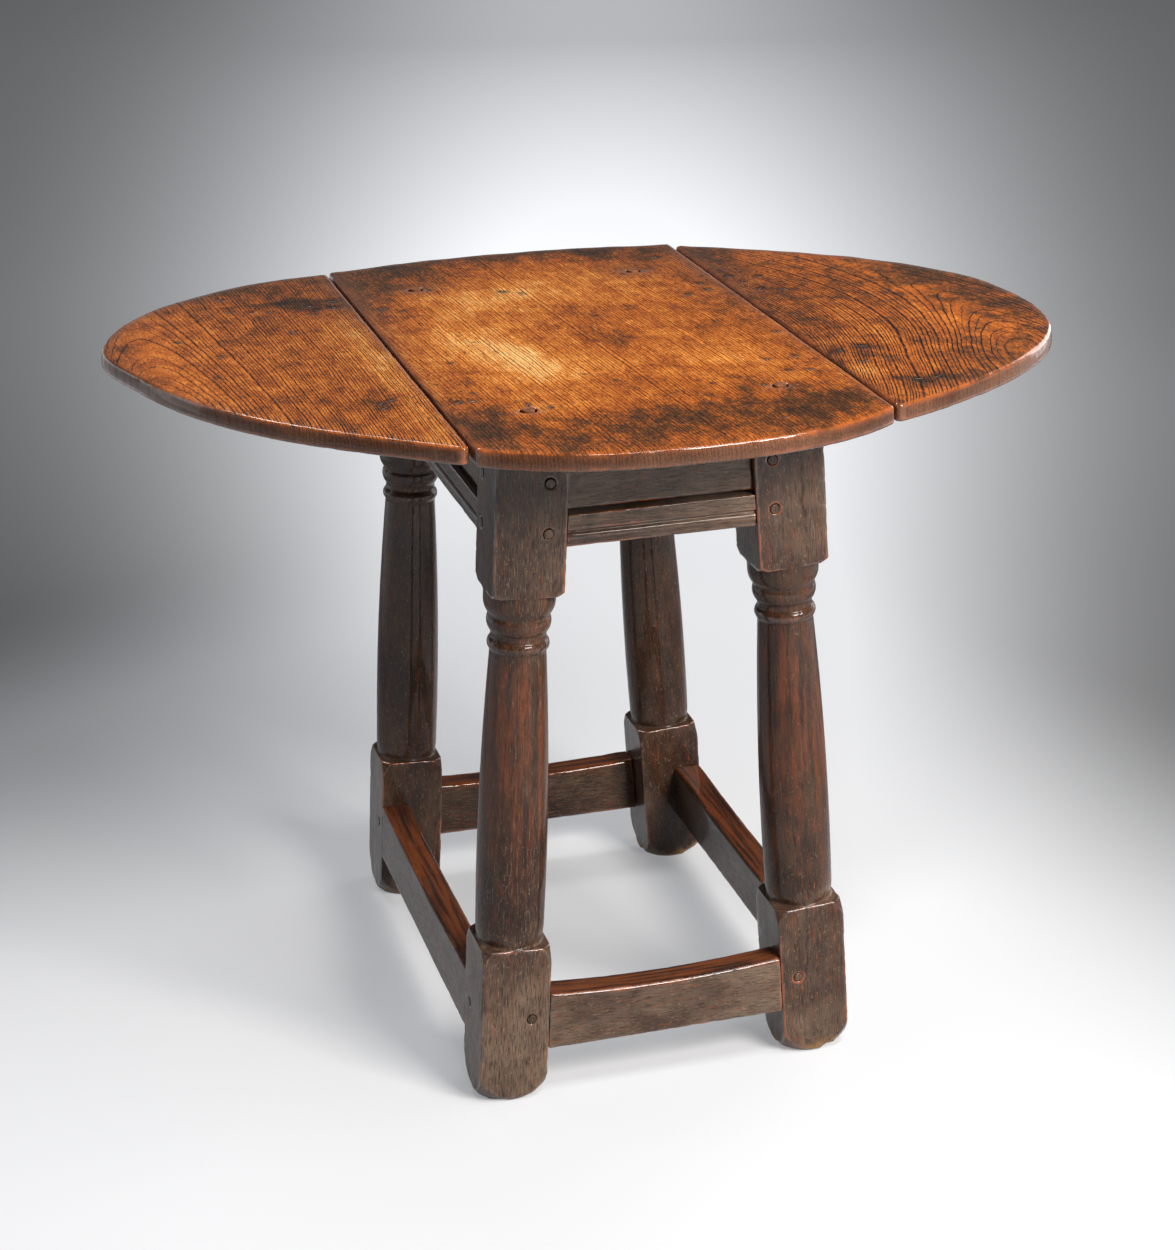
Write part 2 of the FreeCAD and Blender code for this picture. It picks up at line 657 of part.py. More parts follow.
def build():
    room_half = d["oval_half_length"] * 2
    room = box("room_under_the_boards", (-room_half, -room_half, ZERO),
               (room_half * 2, room_half * 2, underside))
    blanks = {corner: leg_blank(corner) for corner in CORNERS}
    all_blanks = group("leg_blanks", list(blanks.values()))
    top_pegs = keep("top_pegs", group("top_pegs", [top_peg(corner) for corner in CORNERS]))

    pegs = {side: keep("joint_pegs_" + side, joint_pegs(side)) for side in SIDES}
    notches = {side: group("loper_notches_" + side,
                           [loper_notch(key) for key in LOPERS if key.startswith(side)])
               for side in ("left", "right")}
    bores = {side: group("peg_holes_" + side, [pegs[side], top_pegs]) for side in SIDES}
    tenons = []
    frieze = {}
    for side in SIDES:
        rails = {
            "frieze": (rail_body("frieze_" + side, side, *frieze_section(), underside), frieze_low, underside),
            "lower_rail": (rail_body("lower_rail_" + side, side, *lower_rail_section(), lower_rail_top),
                           lower_rail_low, lower_rail_top),
            "stretcher": (stretcher_body("stretcher_" + side, side), d["stretcher_low"],
                          stretcher_top - d["side_wear"]),
        }
        for kind, (body, low, high) in rails.items():
            name = kind + "_" + side
            between = cut(name + "_shouldered", body, all_blanks)
            bar = tenon_bar(name, side, low, high)
            tenons.append(bar)
            piece = common(name + "_level", fuse(name + "_tenoned", [between, bar]), room)
            if kind == "frieze" and side in notches:
                piece = cut(name + "_notched", piece, notches[side])
            piece = keep(name, cut(name, piece, bores[side]))
            if kind == "frieze":
                frieze[side] = piece
    all_tenons = group("all_tenons", tenons)
    all_pegs = group("all_leg_pegs", [top_pegs] + list(pegs.values()))
    for corner in CORNERS:
        leg = turned_leg(corner, blanks[corner], room)
        mortised = cut("leg_%s_mortised" % corner, leg, all_tenons)
        keep("leg_" + corner, cut("leg_" + corner, mortised, all_pegs))

    for side in ("left", "right"):
        cleat(side, frieze[side])
    for key in LOPERS:
        loper(key)

    board_nails = {"centre": [], "left": [], "right": []}
    for key in HINGES:
        hinge_pin(key)
        for outward, where in ((1, key.split("_")[0]), (-1, "centre")):
            nails = hinge_nails(key, outward)
            kind = "moving" if outward > 0 else "fixed"
            keep("hinge_%s_flap_%s" % (kind, key),
                 cut("hinge_%s_flap_%s" % (kind, key), hinge_flap(key, outward), nails))
            keep("hinge_%s_nails_%s" % (kind, key), nails)
            board_nails[where].append(nails)
    keep("centre_board", cut("centre_board", centre_board_blank(),
                             group("centre_board_holes", board_nails["centre"] + [top_pegs])))
    for side in ("left", "right"):
        keep("leaf_" + side, cut("leaf_" + side, leaf_board(side),
                                 group("leaf_%s_holes" % side, board_nails[side])))


def check():
    """Stop if any object failed or a piece isn't a sound solid."""
    doc.recompute()
    for thing in doc.Objects:
        if "Invalid" in thing.State or "Error" in thing.State:
            raise RuntimeError("%s failed: %s" % (thing.Label, thing.State))
    for name, thing in nodes.items():
        shape = thing.Shape
        if shape.isNull() or not shape.isValid() or not shape.Solids:
            raise RuntimeError("%s has no sound shape" % name)


build()
check()
os.makedirs("parts", exist_ok=True)
for name, thing in sorted(nodes.items()):
    thing.Shape.exportStep("parts/%s.step" % name)
    bounds = thing.Shape.BoundBox
    print("%-34s %2d solids  %9.0f mm3  %7.1f %7.1f %7.1f .. %7.1f %7.1f %7.1f" % (
        name, len(thing.Shape.Solids), thing.Shape.Volume,
        bounds.XMin, bounds.YMin, bounds.ZMin, bounds.XMax, bounds.YMax, bounds.ZMax))
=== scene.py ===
# %% [markdown]
# # A drop-leaf occasional table
# A small joined table of dark oak stands on a pale floor. Its solids come ready made, in metres, as a frame that
# isn't moved. This script gives each of them its surface: worn arrises, turned rings softened by use, open
# grain, wax, iron and the marks of old repairs. Each cell can be run in turn.

# %% Load the frame
from math import cos, pi, radians, sin

import bpy
import numpy as np
from mathutils import Matrix, Vector, kdtree, noise


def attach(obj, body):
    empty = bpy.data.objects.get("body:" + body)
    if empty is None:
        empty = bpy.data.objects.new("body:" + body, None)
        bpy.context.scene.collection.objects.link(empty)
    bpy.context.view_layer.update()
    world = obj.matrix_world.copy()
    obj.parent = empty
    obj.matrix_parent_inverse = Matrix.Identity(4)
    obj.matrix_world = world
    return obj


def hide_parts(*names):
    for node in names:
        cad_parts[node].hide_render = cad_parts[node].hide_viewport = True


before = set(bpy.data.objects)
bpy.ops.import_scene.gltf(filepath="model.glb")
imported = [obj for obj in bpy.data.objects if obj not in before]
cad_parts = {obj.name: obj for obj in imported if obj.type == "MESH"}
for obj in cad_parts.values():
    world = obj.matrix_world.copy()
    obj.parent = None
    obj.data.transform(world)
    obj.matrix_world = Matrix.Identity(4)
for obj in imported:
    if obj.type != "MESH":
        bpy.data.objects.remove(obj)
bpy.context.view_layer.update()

# %% [markdown]
# The camera stands where the photographer's did: a little left of the middle and looking down at about 21
# degrees. A long lens keeps the two sides of the table nearly parallel. The small roll and shift are what is left
# once the edges of the top and of the legs fall where they should.

# %% Camera
AZIMUTH, ELEVATION, ROLL = radians(-15.73), radians(21.35), radians(-1.06)
CAMERA_PLACE = Vector((-0.6760, -2.3902, 1.3556))
LENS, SHIFT_X, SHIFT_Y = 81.98, -0.0036, -0.0011    # millimetres, and shares of the picture's width
FARTHEST_SEEN = 60                                  # metres

back = Vector((sin(AZIMUTH) * cos(ELEVATION), -cos(AZIMUTH) * cos(ELEVATION), sin(ELEVATION)))
level = Vector((cos(AZIMUTH), sin(AZIMUTH), 0))
upright = back.cross(level)
right = level * cos(ROLL) + upright * sin(ROLL)
up = upright * cos(ROLL) - level * sin(ROLL)
camera_data = bpy.data.cameras.new("camera")
camera_data.sensor_fit = "HORIZONTAL"
camera_data.lens = LENS
camera_data.shift_x, camera_data.shift_y = SHIFT_X, SHIFT_Y
camera_data.clip_end = FARTHEST_SEEN
camera = bpy.data.objects.new("camera", camera_data)
camera.matrix_world = Matrix.Translation(CAMERA_PLACE) @ Matrix((right, up, back)).transposed().to_4x4()
bpy.context.scene.collection.objects.link(camera)
bpy.context.scene.camera = camera
bpy.context.scene.view_settings.view_transform = "Standard"
print("camera at", [round(value, 3) for value in CAMERA_PLACE])

# %% [markdown]
# Every material is a small graph of nodes. One function adds a node, sets it up and feeds its inputs, so each
# finish below reads as a list of what it is made of. The settings that come back often have short names. Colours
# are written as they are seen on a screen, and are turned to linear light here.

# %% Helpers for materials
MM = 0.001
SMOOTH = {"interpolation_type": "SMOOTHSTEP"}
BLEND = {"data_type": "RGBA"}
DEEPEN = {"data_type": "RGBA", "blend_type": "MULTIPLY"}
TIMES, PLUS, MINUS, OVER = ({"operation": word} for word in ("MULTIPLY", "ADD", "SUBTRACT", "DIVIDE"))
TIMES_PLUS, MOST, ROOT, SIZE = ({"operation": word} for word in ("MULTIPLY_ADD", "MAXIMUM", "SQRT", "ABSOLUTE"))


def colour(code):
    """A hex colour as linear RGBA."""
    channels = [int(code[n:n + 2], 16) / 255 for n in (1, 3, 5)]
    return [c / 12.92 if c <= 0.04045 else ((c + 0.055) / 1.055) ** 2.4 for c in channels] + [1.0]


def add(tree, kind, *values, out="", **settings):
    """Add a node, set it up, and feed its open inputs in order, or by name from a dict. Gives one output."""
    node = tree.nodes.new("ShaderNode" + kind)
    for name, value in settings.items():
        setattr(node, name, value)
    if values and isinstance(values[0], dict):
        fed = [(node.inputs[name], value) for name, value in values[0].items()]
    else:
        fed = zip([socket for socket in node.inputs if socket.enabled], values)
    for socket, value in fed:
        if isinstance(value, bpy.types.NodeSocket):
            tree.links.new(value, socket)
        else:
            socket.default_value = colour(value) if isinstance(value, str) else value
    given = [socket for socket in node.outputs if socket.enabled]
    return next((socket for socket in given if socket.name == out), given[0] if given else None)


def new_material(name):
    """An empty material and its tree of nodes."""
    made = bpy.data.materials.new(name)
    made.use_nodes = True
    made.node_tree.nodes.clear()
    return made, made.node_tree


def patterns(tree, place, sizes, seed):
    """Noises along a grain. sizes: name, size of its spots on each axis in millimetres, detail. seed: a number
    that moves the pattern, so that no two pieces are cut from the same wood."""
    made = {}
    for number, (name, spots, detail) in enumerate(sizes):
        shift = (seed + number * 2.3, seed * 0.7 + number, seed * 1.3)
        scaled = add(tree, "Mapping", place, shift, (0, 0, 0), [1 / (size * MM) for size in spots])
        made[name] = add(tree, "TexNoise", scaled, 1.0, detail, 0.6)
    return made


print("a dark oak in linear light:", [round(channel, 4) for channel in colour("#2B1C15")])

# %% [markdown]
# The top is ring-porous oak, old and waxed. Flat-sawn boards show the tree's rings as lines that lie along the
# grain and turn into nested arches where the saw passed nearest the heart. So the rings are worked out as they
# grow: a distance from the heart, cut by the board's face, which bends away from it with `rise` over `reach`.
# The spring wood of each ring is a row of open pores, which dirt and wax have turned nearly black. The line is
# 1.0 to 1.6 mm wide here, in rings of about 3 mm. So the distance to the line is worked out in metres, and wide
# and narrow rings get the same line.

# %% Growth rings
WANDER = 16 * MM      # how far a ring strays sideways along the board
BLUNT_TIP = 12 * MM   # roundness of the arches' tips
FLATTEST = 4 * MM     # keeps the slope above nothing on the heart's line


def growth_rings(tree, place, noises, heart, depth, rise, reach, bow, lean, ring, thick):
    """Gives how dark the spring line is at each point. heart: place of the arches' tips. depth: of the heart
    under the face. ring: mean width of a year. thick: width of the dark line. All in metres."""
    x, y = (add(tree, "SeparateXYZ", place, out=axis) for axis in "XY")
    middle = add(tree, "Math", y, -bow[1], **PLUS)
    bent = add(tree, "Math", add(tree, "Math", middle, middle, **TIMES), bow[0], x, **TIMES_PLUS)
    across = add(tree, "Math", y, lean, add(tree, "Math", bent, -heart[0], **PLUS), **TIMES_PLUS)
    wander = add(tree, "Math", noises["slow"], -0.5, **PLUS)
    across = add(tree, "Math", wander, WANDER, across, **TIMES_PLUS)
    along = add(tree, "Math", y, -heart[1], **PLUS)
    along = add(tree, "Math", add(tree, "Math", along, along, BLUNT_TIP ** 2, **TIMES_PLUS), **ROOT)
    left_over = add(tree, "Math", add(tree, "Math", along, -1 / reach, **TIMES), operation="EXPONENT")
    height = add(tree, "Math", left_over, -rise, rise, **TIMES_PLUS)
    flat = add(tree, "Math", across, across, depth ** 2, **TIMES_PLUS)
    far = add(tree, "Math", add(tree, "Math", height, height, flat, **TIMES_PLUS), **ROOT)
    # How steeply the rings climb here, so that their lines keep one width
    climb = add(tree, "Math", add(tree, "Math", height, left_over, **TIMES), rise / reach, **TIMES)
    steep = add(tree, "Math", climb, climb, FLATTEST ** 2, **TIMES_PLUS)
    steep = add(tree, "Math", across, across, steep, **TIMES_PLUS)
    steep = add(tree, "Math", add(tree, "Math", steep, **ROOT), far, **OVER)

    rings = add(tree, "Math", far, ring, **OVER)
    rings = add(tree, "Math", noises["jagged"], 0.75, rings, **TIMES_PLUS)
    rings = add(tree, "Math", noises["ripple"], 0.22, rings, **TIMES_PLUS)
    # Some years are wide and some narrow
    years = add(tree, "TexNoise", add(tree, "Math", rings, 0.33, **TIMES), 1.0, 1.0, noise_dimensions="1D")
    rings = add(tree, "Math", years, 1.3, rings, **TIMES_PLUS)
    year = add(tree, "Math", rings, operation="FRACT")
    from_line = add(tree, "Math", add(tree, "Math", year, ring, **TIMES), steep, **OVER)
    crisp = add(tree, "MapRange", from_line, 0.6 * thick, 1.4 * thick, 1.0, 0.0, **SMOOTH)
    soft = add(tree, "MapRange", from_line, 0.0, 3.0 * thick, 0.3, 0.0, **SMOOTH)
    line = add(tree, "Math", crisp, soft, **MOST)
    strength = add(tree, "TexNoise", add(tree, "Math", rings, 0.8, **TIMES), 1.0, 1.0, noise_dimensions="1D")
    strength = add(tree, "MapRange", strength, 0.30, 0.50, 0.65, 1.0, **SMOOTH)
    broken = add(tree, "MapRange", noises["pores"], 0.36, 0.50, 0.6, 1.0, **SMOOTH)
    return add(tree, "Math", add(tree, "Math", line, strength, **TIMES), broken, **TIMES)


# %% [markdown]
# Over the rings lie the marks of use. Wax and hands have darkened and polished the oak unevenly, so its tone is a
# sum of clouds, mottles and specks, from 110 mm down to 3 mm. The rim is a different brown, because its end grain
# drinks more wax. The underside is raw. `tone`, `stain`, `edge` and `wear` are painted on the mesh further down.
# The wax is a thin, crisp coat. Under it the wood itself shines little.

# %% Waxed oak of the top
WAXED_SIZES = [("slow", (140, 400, 140), 3), ("jagged", (26, 34, 26), 3), ("ripple", (7, 16, 7), 2),
               ("pores", (1.4, 14, 3), 2), ("flecks", (2.2, 13, 4), 3), ("cloud", (80, 120, 110), 5),
               ("mottle", (17, 26, 17), 5), ("fibre", (1.6, 30, 4), 2), ("speck", (2.6, 5, 3), 3),
               ("scratch", (1.8, 22, 1.8), 3)]


def waxed_oak(name, ink, seed, **growth):
    """ink: how black the spring lines are. growth: what growth_rings asks for."""
    made, tree = new_material(name)
    place = add(tree, "TexCoord", out="Object")
    noises = patterns(tree, place, WAXED_SIZES, seed)
    line = growth_rings(tree, place, noises, **growth)
    tone, wear, stain, edge = (add(tree, "Attribute", attribute_name=painted, out="Fac")
                               for painted in ("tone", "wear", "stain", "edge"))

    # Handling, dirt and sun change the tone in clouds, mottles and specks
    for key, amount in (("cloud", 0.9), ("mottle", 1.5), ("speck", 1.4)):
        tone = add(tree, "Math", noises[key], amount, add(tree, "Math", tone, -amount / 2, **PLUS), **TIMES_PLUS)
    shade = add(tree, "ValToRGB", add(tree, "Math", tone, 0.5, 0.5, **TIMES_PLUS))
    ramp = shade.node.color_ramp
    ramp.elements[0].color, ramp.elements[1].color = colour("#2A1D10"), colour("#FFC678")
    for position, code in ((0.25, "#643A18"), (0.47, "#B9621A"), (0.70, "#E38E38")):
        ramp.elements.new(position).color = colour(code)
    fibre = add(tree, "MapRange", noises["fibre"], 0.38, 0.62, 0.0, 0.42, **SMOOTH)
    base = add(tree, "Mix", fibre, shade, "#B98C5A", **DEEPEN)
    base = add(tree, "Mix", add(tree, "Math", line, ink, **TIMES), base, "#2A1A12", **DEEPEN)
    flecks = add(tree, "MapRange", noises["flecks"], 0.60, 0.68, 0.0, 0.6, **SMOOTH)
    base = add(tree, "Mix", flecks, base, "#6B5140", **DEEPEN)

    # The back was never polished: dirt lies there in a band beside the rim
    depth = add(tree, "MapRange", add(tree, "SeparateXYZ", place, out="Y"), -0.02, 0.22, 0.25, 0.95, **SMOOTH)
    grime = add(tree, "Math", add(tree, "Math", edge, depth, **TIMES),
                add(tree, "MapRange", noises["mottle"], 0.32, 0.58, 0.45, 1.0, **SMOOTH), **TIMES)
    base = add(tree, "Mix", grime, base, "#4B3A30", **BLEND)

    # Rim and arrises: polished by hands and sleeves, with fine scratches across
    facing = add(tree, "SeparateXYZ", add(tree, "TexCoord", out="Normal"), out="Z")
    rim = add(tree, "MapRange", add(tree, "Math", facing, **SIZE), 0.72, 0.35, **SMOOTH)
    under = add(tree, "MapRange", facing, -0.3, -0.8, **SMOOTH)
    rim_wood = add(tree, "Mix", add(tree, "MapRange", noises["scratch"], 0.35, 0.65, **SMOOTH),
                   "#5A3A28", "#6F4A34", **BLEND)
    rim_wood = add(tree, "Mix", add(tree, "Math", line, 0.25, **TIMES), rim_wood, "#5A4334", **DEEPEN)
    rim_wood = add(tree, "Mix", add(tree, "MapRange", noises["cloud"], 0.40, 0.62, 0.0, 0.5, **SMOOTH),
                   rim_wood, "#8A6E5E", **DEEPEN)
    base = add(tree, "Mix", rim, base, rim_wood, **BLEND)
    bright = add(tree, "Math", wear, add(tree, "MapRange", noises["mottle"], 0.35, 0.6, 0.15, 0.75, **SMOOTH),
                 **TIMES)
    base = add(tree, "Mix", bright, base, "#A85A2C", **BLEND)
    base = add(tree, "Mix", stain, base, "#120B08", **BLEND)
    raw = add(tree, "Mix", add(tree, "MapRange", noises["fibre"], 0.3, 0.7, **SMOOTH), "#4A3422", "#6E5238",
              **BLEND)
    raw = add(tree, "Mix", add(tree, "Math", line, 0.6, **TIMES), raw, "#4A3626", **DEEPEN)
    base = add(tree, "Mix", under, base, raw, **BLEND)

    rough = add(tree, "Math", line, 0.22, 0.40, **TIMES_PLUS)
    for source, amount in ((noises["mottle"], 0.16), (edge, -0.12), (wear, -0.26), (under, 0.30)):
        rough = add(tree, "Math", source, amount, rough, **TIMES_PLUS)
    height = add(tree, "Math", line, -0.45, add(tree, "Math", flecks, -0.3, **TIMES), **TIMES_PLUS)
    height = add(tree, "Math", height, add(tree, "Math", 1.0, wear, **MINUS), **TIMES)
    height = add(tree, "Math", noises["mottle"], 0.35, height, **TIMES_PLUS)
    height = add(tree, "Math", noises["speck"], 0.12, height, **TIMES_PLUS)
    bump = add(tree, "Bump", {"Height": height, "Strength": 0.8, "Distance": 0.8 * MM})
    polish = add(tree, "MapRange", wear, 0.1, 0.6, 0.38, 1.0, **SMOOTH)
    surface = add(tree, "BsdfPrincipled", {"Base Color": base, "Roughness": rough, "Normal": bump,
                                           "Specular IOR Level": 0.14, "Coat Weight": polish,
                                           "Coat Roughness": 0.07})
    add(tree, "OutputMaterial", surface)
    print(name, len(tree.nodes), "nodes")
    return made


left_oak = waxed_oak("waxed_oak_left_leaf", 0.95, 1.0, heart=(-0.412, -0.240), depth=60 * MM, rise=100 * MM,
                     reach=0.400, bow=(0.0, 0.0), lean=0.0, ring=2.6 * MM, thick=1.1 * MM)
middle_oak = waxed_oak("waxed_oak_centre_board", 0.80, 2.0, heart=(-0.9, 0.0), depth=50 * MM, rise=0.0,
                       reach=0.4, bow=(0.0, 0.0), lean=0.07, ring=3.3 * MM, thick=1.0 * MM)
right_oak = waxed_oak("waxed_oak_right_leaf", 1.0, 3.0, heart=(0.388, -0.181), depth=60 * MM, rise=80 * MM,
                      reach=0.150, bow=(0.95, -0.038), lean=0.0, ring=3.0 * MM, thick=1.6 * MM)

# %% [markdown]
# The frame is the same oak, but stained by centuries of smoke, wax and handling to a brown that is almost
# black. It shows red-brown where feet, hands and brooms have rubbed it: on every arris, on the rings of the
# turning and along the tops of the stretchers. The feet stood on wet stone floors, which has eaten and bleached
# them. `along` turns the pattern so that its third axis runs with the piece's own grain. Five things are painted
# on the meshes: `wear` on arrises, `rub` where feet and knees polish, `foot`, `crack`, and a paleness that is
# partly dust and worn wax and partly painted light: the front and the low blocks are painted paler, as if lit by
# the lamps and the bright floor, and the back darker, as if in the top's shade.

# %% Dark oak of the frame
DARK_SIZES = [("streak", (5, 5, 110), 4), ("fine", (1.1, 1.1, 13), 3), ("cloud", (70, 70, 130), 4),
              ("mottle", (15, 15, 24), 5), ("speck", (1.7, 1.7, 3.5), 3), ("thread", (1.7, 1.7, 16), 3)]


def dark_oak(name, along, tilt, ruddy, weathered, seed):
    """ruddy: share of red-brown streaks. weathered: how open and dry the grain is."""
    made, tree = new_material(name)
    turn = {"z": (0, -tilt, 0), "x": (0, pi / 2, 0), "y": (pi / 2, 0, 0)}[along]
    place = add(tree, "TexCoord", out="Object")
    noises = patterns(tree, add(tree, "Mapping", place, (0, 0, 0), turn), DARK_SIZES, seed)
    wear, rub, foot, crack, dust_and_light = (add(tree, "Attribute", attribute_name=painted, out="Fac")
                                    for painted in ("wear", "rub", "foot", "crack", "dust_and_light"))

    clouds = add(tree, "MapRange", noises["cloud"], 0.34, 0.64, **SMOOTH)
    # The paler mix is partly dust and worn wax, partly painted light on the lit front and low parts
    base = add(tree, "Mix", dust_and_light, add(tree, "Mix", clouds, "#2B1C15", "#4E392C", **BLEND),
               add(tree, "Mix", clouds, "#523E33", "#806B5A", **BLEND), **BLEND)
    red = add(tree, "MapRange", noises["streak"], 0.50, 0.64, 0.0, 0.1 + 0.6 * ruddy, **SMOOTH)
    base = add(tree, "Mix", red, base, "#5C2F1C", **BLEND)
    threads = add(tree, "MapRange", noises["thread"], 0.60, 0.68, 0.0, 0.25 + 0.9 * ruddy, **SMOOTH)
    base = add(tree, "Mix", threads, base, "#8F4A1C", **BLEND)
    mottled = add(tree, "MapRange", noises["mottle"], 0.36, 0.66, 0.35, 0.0, **SMOOTH)
    base = add(tree, "Mix", mottled, base, "#6E5C52", **DEEPEN)
    grain = add(tree, "MapRange", noises["fine"], 0.53, 0.62, 0.0, 0.5 + 0.3 * weathered, **SMOOTH)
    base = add(tree, "Mix", grain, base, "#4C3A30", **DEEPEN)
    if weathered:
        dry = add(tree, "MapRange", noises["fine"], 0.42, 0.34, 0.0, weathered, **SMOOTH)
        base = add(tree, "Mix", dry, base, "#8A7A66", **BLEND)
    dust = add(tree, "MapRange", noises["speck"], 0.61, 0.68, 0.0, 0.35, **SMOOTH)
    base = add(tree, "Mix", dust, base, "#A98A6C", **BLEND)
    rubbed = add(tree, "MapRange", add(tree, "Math", noises["mottle"], 0.9, rub, **TIMES_PLUS), 0.60, 1.35,
                 0.0, 0.85, **SMOOTH)
    polished = add(tree, "Mix", add(tree, "MapRange", noises["streak"], 0.36, 0.64, **SMOOTH), "#28140D",
                   "#743A19", **BLEND)
    base = add(tree, "Mix", rubbed, base, polished, **BLEND)
    broken = add(tree, "MapRange", add(tree, "Math", noises["mottle"], 1.5, wear, **TIMES_PLUS), 1.25, 1.80,
                 0.0, 0.80, **SMOOTH)
    base = add(tree, "Mix", broken, base, "#9A5228", **BLEND)
    bleached = add(tree, "MapRange", add(tree, "Math", noises["mottle"], 1.1, foot, **TIMES_PLUS), 0.98, 1.4,
                   0.0, 0.85, **SMOOTH)
    base = add(tree, "Mix", bleached, base, "#8E6B42", **BLEND)
    base = add(tree, "Mix", crack, base, "#0C0908", **BLEND)

    rough = add(tree, "Math", noises["mottle"], 0.30, 0.20 + 0.20 * weathered, **TIMES_PLUS)
    for source, amount in ((rubbed, -0.10), (grain, 0.14), (wear, -0.10), (bleached, 0.35)):
        rough = add(tree, "Math", source, amount, rough, **TIMES_PLUS)
    height = add(tree, "Math", grain, -0.4 - 0.5 * weathered, add(tree, "Math", noises["mottle"], 0.6, **TIMES),
                 **TIMES_PLUS)
    height = add(tree, "Math", noises["streak"], 0.5, height, **TIMES_PLUS)
    height = add(tree, "Math", noises["speck"], 0.15, height, **TIMES_PLUS)
    bump = add(tree, "Bump", {"Height": height, "Strength": 0.75, "Distance": 1.0 * MM})
    # Rubbed arrises shine most
    polish = add(tree, "MapRange", wear, 0.1, 0.6, 0.34, 1.0, **SMOOTH)
    surface = add(tree, "BsdfPrincipled", {"Base Color": base, "Roughness": rough, "Normal": bump,
                                           "Specular IOR Level": 0.12, "Coat Weight": polish,
                                           "Coat Roughness": 0.07})
    add(tree, "OutputMaterial", surface)
    print(name, len(tree.nodes), "nodes")
    return made


# %% [markdown]
# Three smaller finishes remain. The loper's whittled pegs are newer, pale oak. The lopers and the inner
# cleats never saw wax, so they are dull. The hinges and nails are wrought iron, black with a brown bloom
# of rust.

# %% Pale oak, plain oak and iron
PLAIN_SIZES = [("streak", (6, 6, 80), 5), ("mottle", (14, 14, 14), 4), ("fine", (1.2, 1.2, 18), 3)]


def plain_oak(name, dark, light, along, roughness, seed):
    """Oak that nobody stained, between two colours along its grain."""
    made, tree = new_material(name)
    turn = {"z": (0, 0, 0), "x": (0, pi / 2, 0), "y": (pi / 2, 0, 0)}[along]
    place = add(tree, "TexCoord", out="Object")
    noises = patterns(tree, add(tree, "Mapping", place, (0, 0, 0), turn), PLAIN_SIZES, seed)
    wear = add(tree, "Attribute", attribute_name="wear", out="Fac")
    base = add(tree, "Mix", add(tree, "MapRange", noises["streak"], 0.32, 0.68, **SMOOTH), dark, light, **BLEND)
    base = add(tree, "Mix", add(tree, "MapRange", noises["mottle"], 0.5, 0.7, 0.0, 0.45, **SMOOTH), base,
               "#8A6F5C", **DEEPEN)
    base = add(tree, "Mix", add(tree, "MapRange", noises["fine"], 0.52, 0.62, 0.0, 0.6, **SMOOTH), base,
               "#7A6250", **DEEPEN)
    base = add(tree, "Mix", add(tree, "Math", wear, 0.4, **TIMES), base, light, **BLEND)
    height = add(tree, "Math", noises["streak"], 0.5, noises["mottle"], **TIMES_PLUS)
    bump = add(tree, "Bump", {"Height": height, "Strength": 0.5, "Distance": 0.6 * MM})
    rough = add(tree, "Math", noises["mottle"], 0.2, roughness, **TIMES_PLUS)
    surface = add(tree, "BsdfPrincipled", {"Base Color": base, "Roughness": rough, "Normal": bump})
    add(tree, "OutputMaterial", surface)
    return made


def wrought_iron(name, bare, seed):
    """Hammered iron with a bloom of rust. bare: its colour where it is clean."""
    made, tree = new_material(name)
    noises = patterns(tree, add(tree, "TexCoord", out="Object"),
                      [("hammer", (8, 8, 8), 2), ("bloom", (3.5, 3.5, 3.5), 5)], seed)
    rust = add(tree, "MapRange", noises["bloom"], 0.44, 0.62, **SMOOTH)
    base = add(tree, "Mix", rust, bare, "#4B2A18", **BLEND)
    height = add(tree, "Math", noises["bloom"], 0.3, noises["hammer"], **TIMES_PLUS)
    bump = add(tree, "Bump", {"Height": height, "Strength": 0.6, "Distance": 0.5 * MM})
    surface = add(tree, "BsdfPrincipled", {"Base Color": base, "Normal": bump,
                                           "Metallic": add(tree, "Math", rust, -0.75, 0.85, **TIMES_PLUS),
                                           "Roughness": add(tree, "Math", rust, 0.3, 0.45, **TIMES_PLUS)})
    add(tree, "OutputMaterial", surface)
    return made


iron = wrought_iron("wrought_iron", "#3A3532", 0.0)
rubbed_iron = wrought_iron("wrought_iron_rubbed", "#8C847C", 3.0)
pale_oak = plain_oak("pale_whittled_oak", "#8A6238", "#C39A66", "z", 0.55, 4.0)
loper_oak = plain_oak("unpolished_oak", "#3A2C22", "#6A5646", "x", 0.5, 5.0)
cleat_oak = plain_oak("unpolished_oak_cleat", "#2E2118", "#4F3C2C", "y", 0.7, 6.0)
print("materials:", len(bpy.data.materials))

# %% [markdown]
# Each timber is worked on as a copy, so that the frame's own solids stay as they are. A few small helpers take
# such a copy, run a modifier on it, read its points and paint numbers on them.

# %% Helpers for meshes
SAME_PLACE = 0.00001    # points nearer than this, in metres, become one


def pick(piece):
    """Make one object the selected and active one."""
    bpy.ops.object.select_all(action="DESELECT")
    piece.select_set(True)
    bpy.context.view_layer.objects.active = piece


def modify(piece, kind, **settings):
    """Add a modifier, set it up and apply it."""
    pick(piece)
    modifier = piece.modifiers.new(kind.lower(), kind)
    for name, value in settings.items():
        setattr(modifier, name, value)
    bpy.ops.object.modifier_apply(modifier=modifier.name)


def copy_of(node, name):
    """A merged copy of a solid, which isn't part of the frame."""
    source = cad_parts[node]
    piece = source.copy()
    piece.data = source.data.copy()
    bpy.context.scene.collection.objects.link(piece)
    piece.parent = None
    piece.matrix_world = Matrix.Identity(4)
    for key in list(piece.keys()):
        if key.startswith("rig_"):
            del piece[key]
    piece.name = piece.data.name = name
    pick(piece)
    bpy.ops.object.mode_set(mode="EDIT")
    bpy.ops.mesh.select_all(action="SELECT")
    bpy.ops.mesh.remove_doubles(threshold=SAME_PLACE)
    bpy.ops.object.mode_set(mode="OBJECT")
    return piece


